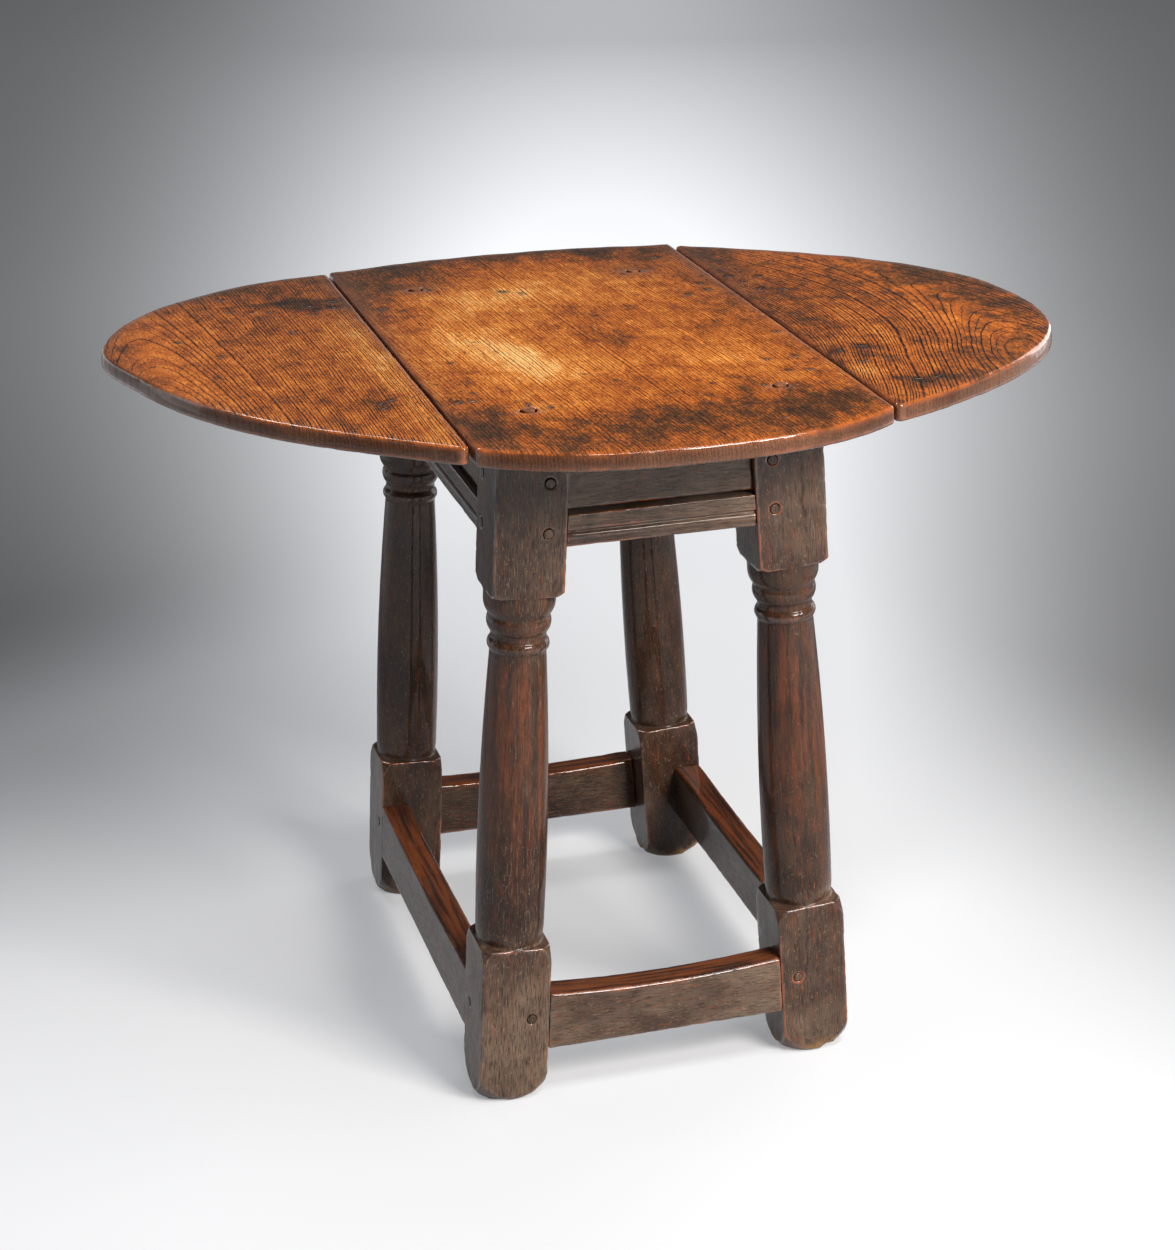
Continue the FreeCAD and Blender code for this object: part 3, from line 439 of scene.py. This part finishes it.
def points_of(mesh, what="co"):
    """The places, or normals, of all points as rows of an array."""
    found = np.empty(len(mesh.vertices) * 3, np.float32)
    mesh.vertices.foreach_get(what, found)
    return found.reshape(-1, 3).astype(float)


def paint(mesh, name, values):
    """Store one number per point, which a material can read."""
    layer = mesh.attributes.get(name) or mesh.attributes.new(name, "FLOAT", "POINT")
    layer.data.foreach_set("value", np.clip(values, -4, 4).astype(np.float32))


# %% [markdown]
# Nothing on an old table is sharp. The exact solids have clean edges, so each visible timber is worn down:
# remeshed into small even faces, drawn back onto the solid so that its shape stays true, and then smoothed a
# little, which eats into the arrises first, as use does. A voxel remesh was chosen over a bevel because it rounds
# every edge alike, those of the turned rings where they meet the flats too. Where a point stands out from its
# neighbours is an arris: there the wear shows, and there small dents bite deepest. All dents go inwards.

# %% Wear a solid down
STAND_OUT = 0.075                   # height of a sharp point over its neighbours, as a share of a face
SLOW_DENTS, QUICK_DENTS = 14, 75    # how quickly the two noises change, per metre


def roundness(mesh, rounds):
    """How far each point stands out from its neighbours, spread by some rounds of averaging."""
    ends = np.empty(len(mesh.edges) * 2, np.int32)
    mesh.edges.foreach_get("vertices", ends)
    first, second = ends[::2], ends[1::2]
    size = len(mesh.vertices)
    count = np.maximum(np.bincount(ends, minlength=size), 1)

    def average(values):
        return (np.bincount(first, values[second], size) + np.bincount(second, values[first], size)) / count

    points, normals = points_of(mesh), points_of(mesh, "normal")
    stand = sum((points[:, k] - average(points[:, k])) * normals[:, k] for k in range(3))
    for _ in range(rounds):
        stand = 0.4 * stand + 0.6 * average(stand)
    return stand


def wear_down(node, name, step, dent=0.3, keep=0.5, marks=None):
    """A worn copy of a solid. step: size of its faces, mm. dent: depth, mm. keep: share of faces that stay.
    marks gives the numbers to paint on it and how far each point sinks."""
    piece = copy_of(node, name)
    modify(piece, "REMESH", mode="VOXEL", voxel_size=step * MM)
    modify(piece, "SHRINKWRAP", target=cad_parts[node], wrap_method="NEAREST_SURFACEPOINT")
    modify(piece, "SMOOTH", factor=0.5, iterations=1)
    mesh = piece.data
    wear = np.clip(roundness(mesh, 2) / (STAND_OUT * step * MM) - 0.15, 0, 1)
    points, normals = points_of(mesh), points_of(mesh, "normal")
    slow = np.array([noise.noise(Vector(p) * SLOW_DENTS) for p in points])
    quick = np.array([noise.noise(Vector(p) * QUICK_DENTS) for p in points])
    sink = (dent * (0.35 + 0.3 * slow) + dent * np.maximum(quick, 0) * wear * 2.2) * MM
    paint(mesh, "wear", wear * np.clip(0.75 + 0.8 * slow, 0, 1))
    if marks:
        painted, deeper = marks(points, normals, wear)
        for key, values in painted.items():
            paint(mesh, key, values)
        sink = sink + deeper
    points -= normals * sink[:, None]
    mesh.vertices.foreach_set("co", points.astype(np.float32).ravel())
    if keep < 1:
        modify(piece, "DECIMATE", ratio=keep)
    mesh = piece.data
    mesh.update()
    pick(piece)
    bpy.ops.object.shade_smooth()
    print("%-22s %6d points" % (name, len(mesh.vertices)))
    return piece


def finish_piece(piece, body, slot, made, *nodes):
    """Give a piece its material, the body it rides on, and the solids that it stands for. slot: not used."""
    piece.data.materials.clear()
    piece.data.materials.append(made)
    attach(piece, body)
    if nodes:
        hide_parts(*nodes)


# %% [markdown]
# The three boards carry the life of the table. Their patches are painted as soft round spots: a place,
# two radii and how pale or dark it is. The back and the corners, which nobody polished, are darker. Black halos
# mark where clenched iron nails come through, because iron and the acid in oak make ink.

# %% Patches and black marks
# Place, radii and tone of each patch: millimetres, and shares from -1, black, to 1, pale
PATCH_SHARES = {
    "centre_board": [
        (-112, 20, 42, 70, 0.62), (-88, -62, 36, 60, 0.66), (-60, 172, 80, 42, 0.50), (40, 168, 90, 60, 0.20),
        (-40, -92, 60, 60, 0.28), (60, 25, 70, 90, -0.04), (-150, 312, 60, 66, -0.62), (-165, 200, 28, 80, -0.42),
        (-10, 352, 190, 60, -0.48), (150, 320, 60, 60, -0.40), (-165, -240, 40, 70, -0.45),
        (-20, -305, 170, 62, -0.56), (150, -290, 70, 45, -0.38), (168, 10, 20, 300, -0.12), (70, 90, 40, 30, -0.2),
        (-80, -215, 60, 40, 0.22), (95, -120, 50, 40, 0.15), (20, -20, 30, 26, -0.22)],
    "leaf_left": [
        (-320, 0, 260, 460, -0.07), (-228, 200, 40, 30, -0.45), (-275, 226, 60, 8, -0.55),
        (-300, 305, 130, 50, -0.35), (-235, 10, 30, 110, 0.22), (-205, -60, 16, 200, 0.5),
        (-330, -40, 60, 90, 0.06), (-436, 30, 16, 160, -0.2), (-250, -155, 30, 20, -0.35),
        (-290, -225, 60, 30, -0.15)],
    "leaf_right": [
        (300, 0, 260, 460, -0.26), (205, 290, 40, 60, -0.40), (395, 190, 30, 130, -0.35),
        (238, 117, 30, 30, -0.22), (225, -133, 30, 22, -0.35), (250, -243, 50, 20, -0.45),
        (262, -90, 24, 140, 0.30), (330, -30, 45, 70, 0.18), (425, 20, 36, 150, -0.28),
        (205, -200, 12, 90, 0.45), (370, -158, 30, 30, -0.10)],
}
# Place and size of each black mark round old iron, in millimetres
MARKS = {
    "centre_board": [
        (-165, 170, 6), (-148, 154, 5), (-106, 226, 4), (101, 224, 5), (-36, 197, 5), (-19, 184, 4), (165, 160, 5),
        (164, 134, 6), (138, 122, 5), (152, 283, 6), (162, -130, 5), (132, -133, 4), (140, -173, 5), (159, -177, 4),
        (103, -208, 4), (-113, -198, 5), (-96, -213, 4), (-169, -173, 5), (-158, -174, 5), (-151, -149, 4),
        (-151, -190, 3), (-176, -112, 3), (-40, -123, 2.5), (25, 72, 2.5), (-110, 17, 2), (85, -310, 4),
        (-147, -46, 3), (175, -43, 4), (-52, 112, 2.5), (30, 12, 2.5), (-20, -150, 3), (60, -190, 2.5)],
    "leaf_left": [
        (-232, 204, 6), (-230, 187, 7), (-208, 217, 7), (-211, 192, 7), (-235, 172, 6), (-313, 209, 4),
        (-274, 196, 4), (-267, 112, 4), (-377, 110, 5), (-347, 47, 4), (-235, -153, 5), (-224, -147, 5),
        (-235, -168, 5), (-320, 52, 2), (-292, 201, 3), (-315, 262, 5)],
    "leaf_right": [
        (206, -125, 9), (233, -119, 9), (215, -168, 5), (239, -165, 5), (240, -238, 7), (260, -236, 6),
        (202, 179, 5), (207, 152, 4), (215, 119, 5), (236, 110, 6), (230, 167, 4), (203, 130, 3), (243, 124, 3)],
}
print({name: (len(PATCH_SHARES[name]), len(MARKS[name])) for name in MARKS})

# %% [markdown]
# Sleeves have rounded the top down all along its rim. A search tree gives each point's distance to the rim, and
# the points near it sink by up to two millimetres. Slow noise bends the outlines of the patches, so that no
# spot looks round.

# %% Boards
TOP, BOARD, JOINT = 680.0, 17.0, 189.5                  # height of the top, thickness, x of the joints, mm
ROLL_DEPTH, ROLL_WIDTH, EDGE_WIDTH = 1.7, 15.0, 16.0    # of the rounding and of the dirt beside the rim, mm
STAIN_DEPTH, JOINT_WIDTH = 0.35, 14                     # mm
BEND, COMB, QUICK = (30, 14), (130, 30), 90             # how quickly the noises change, per metre


def board_marks(name):
    """The paint on one board, and its sinking towards the rim."""
    def marks(points, normals, wear):
        rim = points[np.abs(normals[:, 2]) < 0.35]
        tree = kdtree.KDTree(len(rim))
        for number, place in enumerate(rim):
            tree.insert((place[0], place[1], 0), number)
        tree.balance()
        inside = np.array([tree.find((place[0], place[1], 0))[2] for place in points]) / MM
        x, y, z = points.T / MM
        bend = np.array([noise.noise(Vector((p[0] * BEND[0], p[1] * BEND[1], 0))) for p in points])
        quick = np.array([noise.noise(Vector(p) * QUICK) for p in points])
        combed = np.array([noise.noise(Vector((p[0] * COMB[0], p[1] * COMB[1], 0))) for p in points])
        upper = np.clip((z - TOP + BOARD * 0.6) / (BOARD * 0.4), 0, 1)
        joint = np.exp(-((np.abs(x) - JOINT) / JOINT_WIDTH) ** 2)
        roll = np.clip(1 - inside / ROLL_WIDTH, 0, 1) ** 2 * ROLL_DEPTH * (1 + 0.7 * bend)
        roll = roll * upper * (1 - 0.9 * joint)

        tone = np.zeros(len(points))
        for place_x, place_y, wide, deep, amount in PATCH_SHARES[name]:
            far = ((x - place_x) / wide) ** 2 + ((y - place_y) / deep) ** 2
            far = far * np.maximum(1 + 1.0 * bend + 0.4 * combed, 0.2)
            tone += amount * np.exp(-far)
        stain = np.zeros(len(points))
        for place_x, place_y, size in MARKS[name]:
            far = np.hypot(x - place_x, (y - place_y) * 0.75) / size
            stain = np.maximum(stain, 0.95 * np.exp(-(far * (1.15 + 1.0 * quick)) ** 2))
        edge = np.exp(-inside / EDGE_WIDTH) * (normals[:, 2] > 0.3)
        return {"tone": tone, "stain": stain, "edge": edge}, (roll + stain * STAIN_DEPTH) * MM
    return marks


boards = {}
for name, body, slot, made, step in (("centre_board", "frame", "top_wood", middle_oak, 2.45),
                                     ("leaf_left", "leaf_left", "leaf_wood", left_oak, 2.0),
                                     ("leaf_right", "leaf_right", "leaf_wood", right_oak, 2.0)):
    board = wear_down(name, name + "_worn", step, keep=1.0, marks=board_marks(name))
    finish_piece(board, body, slot, made, name)
    boards[name] = board

# %% [markdown]
# The nails that hold the hinges were driven up through the boards and clenched over: their points were beaten
# flat into the top. Each shows as a small sliver of iron, wide at one end. They are made one by one, because each
# has its own length and direction, and lie at the height of the board's worn surface, which is searched for it.
# All the slivers of a board are joined, so that they ride with it as one piece.

# %% Clenched nails
SMALLEST_MARK = 4               # a smaller mark holds no iron, mm
SLIVER_LENGTHS = (6.5, 11.0)    # mm
SLIVER_WIDTH, SLIVER_HEIGHT, SLIVER_BEVEL, THIN_END = 2.0, 1.2, 0.45, 0.45      # mm, and a share
SEARCHED, SUNK, UNDER_TOP = 6, 0.35, 0.65       # mm: below the top, below the surface, least below the top


def sliver(name, place, size, turn):
    """A flattened iron point with bevelled edges, thinner at one end."""
    bpy.ops.object.select_all(action="DESELECT")
    bpy.ops.mesh.primitive_cube_add(size=1, location=(0, 0, 0))
    piece = bpy.context.object
    piece.name = name
    mesh = piece.data
    for vertex in mesh.vertices:
        taper = THIN_END if vertex.co.x > 0 else 1.0
        vertex.co = Vector((vertex.co.x * size, vertex.co.y * SLIVER_WIDTH * taper,
                            vertex.co.z * SLIVER_HEIGHT)) * MM
    modify(piece, "BEVEL", width=SLIVER_BEVEL * MM, segments=2)
    spin = Matrix.Rotation(turn, 4, "Z")
    mesh.transform(Matrix.Translation(place) @ spin)
    return piece


chance = np.random.default_rng(7)
for name, board in boards.items():
    mesh = board.data
    points = points_of(mesh)
    points = points[points[:, 2] > (TOP - SEARCHED) * MM]
    found = []
    for number, (x, y, size) in enumerate(MARKS[name]):
        if size < SMALLEST_MARK:
            continue
        near = points[np.argmin(np.hypot(points[:, 0] - x * MM, points[:, 1] - y * MM))]
        high = min(near[2] - SUNK * MM, (TOP - UNDER_TOP) * MM)
        found.append(sliver(name + "_nail_%d" % number, (x * MM, y * MM, high), chance.uniform(*SLIVER_LENGTHS),
                            chance.uniform(0, pi)))
    bpy.ops.object.select_all(action="DESELECT")
    for piece in found:
        piece.select_set(True)
    bpy.context.view_layer.objects.active = found[0]
    bpy.ops.object.join()
    nails = bpy.context.object
    nails.name = nails.data.name = name + "_clenched_nails"
    bpy.ops.object.shade_smooth_by_angle(angle=radians(40))
    finish_piece(nails, "frame" if name == "centre_board" else name, "nail_iron", rubbed_iron)
    print(nails.name, len(found), "slivers")

# %% [markdown]
# The legs lean outwards to the sides by a little over three degrees. Their grain runs up the leaning axis, so
# the pattern is turned with it. The swelling of the column is polished by knees. The feet are bleached and
# gnawed. One leg has split along its grain as it dried: each split is a thin dark groove that wanders a little
# and fades out at its ends. No two legs aged alike, so each has its own row of values.

# %% Legs
SPREAD_HIGH, SPREAD_LOW, LEG_HEIGHT = 116.7 * MM, 154.9 * MM, 663 * MM
TILT = (SPREAD_LOW - SPREAD_HIGH) / LEG_HEIGHT
COLUMN, COLUMN_FADE = (0.165, 0.530), 0.02          # heights where the turning begins and ends
BELLY, BELLY_HALF = 0.36, 0.12                      # height and half height of the column's swelling
FOOT, GNAWED, GNAWED_DEPTH = 0.026, 55, 5 * MM      # height of the bleached foot, its hollows and their depth
SPLIT_WIDTH, SPLIT_DEPTH, SPLIT_FADE = 0.8 * MM, 0.9 * MM, 6 * MM
STRAY, STRAY_TURNS = 0.9 * MM, 260                  # how far and how quickly a split strays from straight
# Splits in a front face: x and height of the upper end, of the lower end, in millimetres, and how dark
SPLITS = {"leg_front_right": [(131, 606, 133, 560, 1.0), (133, 648, 131, 632, 0.9),
                              (133, 470, 137, 350, 0.35), (141, 160, 143, 92, 0.7)]}


def leg_marks(bleach, polish, dust_and_light_share, splits):
    """The paint on one leg, and how far its foot and its splits sink."""
    def marks(points, normals, wear):
        height = points[:, 2]
        column = (np.clip((height - COLUMN[0]) / COLUMN_FADE, 0, 1)
                  * np.clip((COLUMN[1] - height) / COLUMN_FADE, 0, 1))
        belly = polish * (0.3 + 0.4 * np.exp(-((height - BELLY) / BELLY_HALF) ** 2))
        foot = np.clip((FOOT - height) / FOOT, 0, 1) * bleach
        gnawed = np.array([noise.noise(Vector(p) * GNAWED) for p in points])
        split = np.zeros(len(points))
        for x, high, end_x, low, dark in splits:
            share = np.clip((high * MM - height) / ((high - low) * MM), 0, 1)
            path = (x + (end_x - x) * share) * MM + STRAY * np.sin(height * STRAY_TURNS)
            beyond = np.maximum(height - high * MM, low * MM - height)
            near = np.exp(-((points[:, 0] - path) / SPLIT_WIDTH) ** 2) * np.clip(1 - beyond / SPLIT_FADE, 0, 1)
            split = np.maximum(split, dark * near * (normals[:, 1] < -0.5))
        sink = np.maximum(gnawed, 0) * foot * GNAWED_DEPTH + split * SPLIT_DEPTH
        # Paler low blocks and front legs: partly dust, partly painted light; darker back legs: painted shade
        dust_and_light = dust_and_light_share * (np.where(height < COLUMN[0] + 0.01, 0.85, 0.45) * (1 - column) + 0.15 * column)
        return {"rub": column * belly, "foot": foot, "crack": split, "dust_and_light": dust_and_light}, sink
    return marks


# Side, redness, weathering, bleached foot, polished column, and dust with painted light, low for the shaded back
LEGS = {"leg_front_left": (-1, 0.3, 0.45, 0.5, 0.9, 0.9), "leg_front_right": (1, 0.5, 0.05, 0.85, 0.8, 1.0),
        "leg_back_left": (-1, 0.3, 0.0, 0.7, 0.3, 0.3), "leg_back_right": (1, 0.3, 0.0, 0.95, 0.3, 0.1)}
for number, (name, (side, ruddy, weathered, bleach, polish, dust_and_light_share)) in enumerate(LEGS.items()):
    marks = leg_marks(bleach, polish, dust_and_light_share, SPLITS.get(name, []))
    leg = wear_down(name, name + "_worn", 1.5, dent=0.35, marks=marks)
    made = dark_oak("dark_oak_" + name, "z", -side * TILT, ruddy, weathered, 10.0 + number * 3)
    finish_piece(leg, "frame", "leg_wood", made, name)

# %% [markdown]
# Rails and stretchers are planed bars. The stretchers' upper edges are where people rest their feet, so their
# tops are rubbed through to bright red-brown wood. Those in front are palest, from dust and from painted light,
# and they darken towards the back, which is painted as if in shade.

# %% Rails and stretchers
RUB_STARTS, RUB_FULL = 0.020, 0.012     # how far below a stretcher's top it is rubbed, and the fade
FRONT_RAILS, FRONT_TO_BACK = -0.16, 0.3


def towards_back(points):
    """0 at the front rails, 1 at the back rails."""
    return np.clip((points[:, 1] - FRONT_RAILS) / FRONT_TO_BACK, 0, 1)


def stretcher_marks(points, normals, wear):
    """A rubbed top, and paleness from dust and painted light, which fades to painted shade at the back."""
    high = points[:, 2].max()
    upper = np.clip((points[:, 2] - (high - RUB_STARTS)) / RUB_FULL, 0, 1)
    rub = upper * np.clip(normals[:, 2] * 1.4, 0, 1) + 0.2 * wear * upper
    return {"rub": rub, "dust_and_light": 1.0 - 0.8 * towards_back(points)}, 0.0


def rail_marks(points, normals, wear):
    """Paleness from dust and painted light, which fades to painted shade at the back."""
    return {"dust_and_light": 1.15 - 0.95 * towards_back(points)}, 0.0


for number, side in enumerate(("front", "back", "left", "right")):
    along = "x" if side in ("front", "back") else "y"
    rail_oak = dark_oak("dark_oak_rails_" + side, along, 0.0, 0.3, 0.1, 30.0 + number * 3)
    step_oak = dark_oak("dark_oak_stretcher_" + side, along, 0.0, 0.3, 0.2, 50.0 + number * 3)
    for kind, slot, made, marks in (("frieze_", "rail_wood", rail_oak, rail_marks),
                                    ("lower_rail_", "rail_wood", rail_oak, rail_marks),
                                    ("stretcher_", "stretcher_wood", step_oak, stretcher_marks)):
        step = 1.1 if kind == "lower_rail_" else 1.7
        bar = wear_down(kind + side, kind + side + "_worn", step, marks=marks)
        finish_piece(bar, "frame", slot, made, kind + side)

# %% [markdown]
# A loper is a plain bar with a thumb-shaped nose, made to be gripped from below. It is worn thinner than the
# other timbers, so that it runs freely in its notch. Its finger peg was whittled with a knife, so its flats are
# kept.

# %% Lopers and cleats
for key in ("left_front", "left_back", "right_front", "right_back"):
    bar = wear_down("loper_" + key, "loper_%s_worn" % key, 1.3, dent=0.6)
    finish_piece(bar, "loper_" + key, "loper_wood", loper_oak, "loper_" + key)
    peg = wear_down("loper_pegs_" + key, "loper_pegs_%s_worn" % key, 0.6, dent=0.2, keep=0.6)
    finish_piece(peg, "loper_" + key, "loper_peg_wood", pale_oak, "loper_pegs_" + key)
for side in ("left", "right"):
    bar = wear_down("cleat_" + side, "cleat_%s_worn" % side, 1.8, dent=0.4)
    finish_piece(bar, "frame", "loper_wood", cleat_oak, "cleat_" + side)

# %% [markdown]
# The wooden pegs of the joints stand a little proud, because oak shrinks across its grain and its pegs don't.
# Their ends are flush enough to keep the frame's own colour.

# %% Pegs
END_SQUARE, END_DEPTH = 0.93, 0.2 * MM      # how squarely an end faces out, and how far it is worn


def peg_marks(points, normals, wear):
    """Little bright wear, some dust, and worn ends."""
    ends = np.abs(normals).max(axis=1) > END_SQUARE
    return {"wear": wear * 0.1, "dust_and_light": np.full(len(points), 0.5)}, ends * END_DEPTH


peg_oak = dark_oak("dark_oak_pegs", "z", 0.0, 0.0, 0.3, 70.0)
top_peg_oak = plain_oak("waxed_peg_oak", "#5E3518", "#8A5024", "z", 0.6, 71.0)
for name, made in ([("joint_pegs_" + side, peg_oak) for side in ("front", "back", "left", "right")]
                   + [("top_pegs", top_peg_oak)]):
    pegs = wear_down(name, name + "_worn", 0.8, dent=0.15, keep=0.45, marks=peg_marks)
    finish_piece(pegs, "frame", "peg_wood", made, name)

# %% [markdown]
# The butterfly hinges under the top are thin plates, cut and hammered. Their solids already have that shape, so
# they stay and only get the iron.

# %% Hinges
hinges = [node for name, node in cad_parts.items() if name.startswith("hinge_")]
for node in hinges:
    node.data.materials.clear()
    node.data.materials.append(iron)
print("pieces of hinges:", len(hinges))

# %% [markdown]
# The floor is a studio's paper, matt and nearly white. It is white in front of the table, and behind it a painted
# pool of light fades to grey at the sides. That fading is painted on the paper itself, turned with the camera's
# azimuth, and past the picture's edges the paper is pale again. The paper has to look pale and yet throw little
# light up onto the dark wood. Light Path tells the two apart: the eye, gloss and glass see pale paper, and the
# scattered light meets a greyer one. To the eye the paper also glows, a painted light that grows away from the
# table; near the table most of what the eye sees is lit by the lamps, so the shadow shows.

# %% Floor
FLOOR_RADIUS = 30
POOL_LENGTH, DIMS_FROM = 6.0, 1.0                   # metres behind the table
POOL_NEAR, POOL_FAR = (0.35, 1.10), (1.07, 0.35)    # half width and strength, at its start and its end
POOL_SHIFT, POOL_MOST, POOL_BASE = 0.04, 0.70, 0.11
FRONT_FADES, FRONT_FULL, FRONT_PALENESS = 1.7, 0.2, 0.90
DARKER_RIGHT = 0.3      # the key lamp is on the right, and the paper is darker there to make up for it
EDGE_NEAR, EDGE_FAR, EDGE_FADE, EDGE_PALENESS = 0.55, 2.30, 0.9, 0.85
GLOW_NEAR, GLOW_FAR = (0.7, 0.3), (3.2, 1.0)        # distance from the table, and share that glows
PAPER_TINT, SCATTERING, SEEN_SCATTERING = (0.945, 0.965, 1.0), "#AEAEAE", "#CFCFCF"


def eye_rays(tree):
    """1 for the rays of the camera, gloss and glass, 0 for scattered light."""
    rays = [add(tree, "LightPath", out=kind)
            for kind in ("Is Camera Ray", "Is Glossy Ray", "Is Transmission Ray")]
    return add(tree, "Math", add(tree, "Math", rays[0], rays[1], **MOST), rays[2], **MOST)


bpy.ops.object.select_all(action="DESELECT")
bpy.ops.mesh.primitive_circle_add(vertices=96, radius=FLOOR_RADIUS, fill_type="NGON", location=(0, 0, 0))
floor = bpy.context.object
floor.name = "floor"
floor_paper, tree = new_material("pale_paper_floor")
eye = eye_rays(tree)
place = add(tree, "TexCoord", out="Object")
turned = add(tree, "Mapping", place, (0, 0, 0), (0, 0, -AZIMUTH))
aside, beyond = (add(tree, "SeparateXYZ", turned, out=axis) for axis in "XY")

# The pool of light widens and dims away from the table and falls off to its sides
wide = add(tree, "MapRange", beyond, 0.0, POOL_LENGTH, POOL_NEAR[0], POOL_FAR[0])
beam = add(tree, "Math", add(tree, "Math", aside, POOL_SHIFT, **MINUS), wide, **OVER)
beam = add(tree, "Math", add(tree, "Math", beam, beam, **TIMES), -1.0, **TIMES)
beam = add(tree, "Math", add(tree, "Math", beam, operation="EXPONENT"),
           add(tree, "MapRange", beyond, DIMS_FROM, POOL_LENGTH, POOL_NEAR[1], POOL_FAR[1]), **TIMES)
beam = add(tree, "Math", add(tree, "Math", beam, POOL_MOST, operation="MINIMUM"), POOL_BASE, **PLUS)

# In front, and past the edges of the picture, the paper is pale
off_side = add(tree, "Math", aside, **SIZE)
nearness = add(tree, "Math", aside, DARKER_RIGHT, add(tree, "Math", off_side, beyond, **PLUS), **TIMES_PLUS)
front = add(tree, "MapRange", nearness, FRONT_FADES, FRONT_FULL, **SMOOTH)
edge = add(tree, "MapRange", beyond, 0.0, POOL_LENGTH, EDGE_NEAR, EDGE_FAR)
past = add(tree, "MapRange", add(tree, "Math", off_side, edge, **MINUS), 0.0, EDGE_FADE, 0.0, EDGE_PALENESS,
           **SMOOTH)
front = add(tree, "Math", front, past, **MOST)
paleness = add(tree, "Mix", front, beam, FRONT_PALENESS)
seen = add(tree, "VectorMath", PAPER_TINT, operation="SCALE")
tree.links.new(paleness, seen.node.inputs["Scale"])

# The eye meets pale paper, and scattered light a greyer one
dim = add(tree, "Mix", 1.0, seen, SCATTERING, **DEEPEN)
matt = add(tree, "Mix", 1.0, seen, SEEN_SCATTERING, **DEEPEN)
paper = add(tree, "BsdfDiffuse", add(tree, "Mix", eye, dim, matt, **BLEND))
away = add(tree, "VectorMath", place, out="Value", operation="LENGTH")
lit = add(tree, "MapRange", away, GLOW_NEAR[0], GLOW_FAR[0], GLOW_NEAR[1], GLOW_FAR[1], **SMOOTH)
# The paper glows to the eye, gloss and glass: painted light, weak near the table and full far from it
glow = add(tree, "Emission", seen, add(tree, "Math", lit, eye, **TIMES))
add(tree, "OutputMaterial", add(tree, "AddShader", paper, glow))
floor.data.materials.append(floor_paper)
print("floor:", round(floor.dimensions.x, 2), "m across")

# %% [markdown]
# One large soft lamp high in front, on the right, lights the top and the front of the frame and leaves the
# left-hand sides dark. A narrow one overhead draws the bright line along the rounded rim. A strip on each side
# puts thin lights down the turned columns, and one high behind gives the top its sheen and the floor a soft
# shadow towards the front. The sky is grey to the eye above the horizon and helps the lamps only a little.

# %% Lamps and sky
def lamp(name, place, aim, size, power, tint="#FFFFFF"):
    """A rectangular lamp. place and aim: metres. size: width and height. power: watts."""
    data = bpy.data.lights.new(name, "AREA")
    data.shape = "RECTANGLE"
    data.size, data.size_y = size
    data.energy = power
    data.color = colour(tint)[:3]
    made = bpy.data.objects.new(name, data)
    bpy.context.scene.collection.objects.link(made)
    direction = Vector(aim) - Vector(place)
    made.matrix_world = Matrix.Translation(place) @ direction.to_track_quat("-Z", "Y").to_matrix().to_4x4()


lamp("key", (1.35, -2.55, 2.35), (0, 0, 0.40), (1.4, 1.1), 160, "#FFF9F2")
lamp("overhead", (0.5, -0.9, 2.4), (0, 0, 0.5), (1.7, 0.25), 27)
lamp("strip_left", (-2.0, 1.0, 1.1), (0, 0, 0.5), (0.8, 1.6), 4)
lamp("strip_right", (2.1, 1.2, 1.1), (0, 0, 0.5), (1.2, 1.6), 14)
lamp("back", (-0.8, 2.2, 3.3), (0, 0, 0.4), (1.2, 0.8), 34)

SKY_LOW, SKY_HIGH, SKY_LIGHT = 0.34, 0.05, 0.09     # seen at the horizon, seen overhead, and as light
SKY_FADES, SKY_FADED = 0.10, 0.30                   # heights between which it darkens
sky = bpy.data.worlds.new("soft_sky")
sky.use_nodes = True
sky_tree = sky.node_tree
sky_tree.nodes.clear()
height = add(sky_tree, "SeparateXYZ", add(sky_tree, "TexCoord", out="Generated"), out="Z")
backdrop = add(sky_tree, "MapRange", height, SKY_FADES, SKY_FADED, SKY_LOW, SKY_HIGH, **SMOOTH)
strength = add(sky_tree, "Mix", eye_rays(sky_tree), SKY_LIGHT, backdrop)
add(sky_tree, "OutputWorld", add(sky_tree, "Background", "#EEF0F6", strength))
bpy.context.scene.world = sky
print("lamps:", [light.name for light in bpy.data.lights])
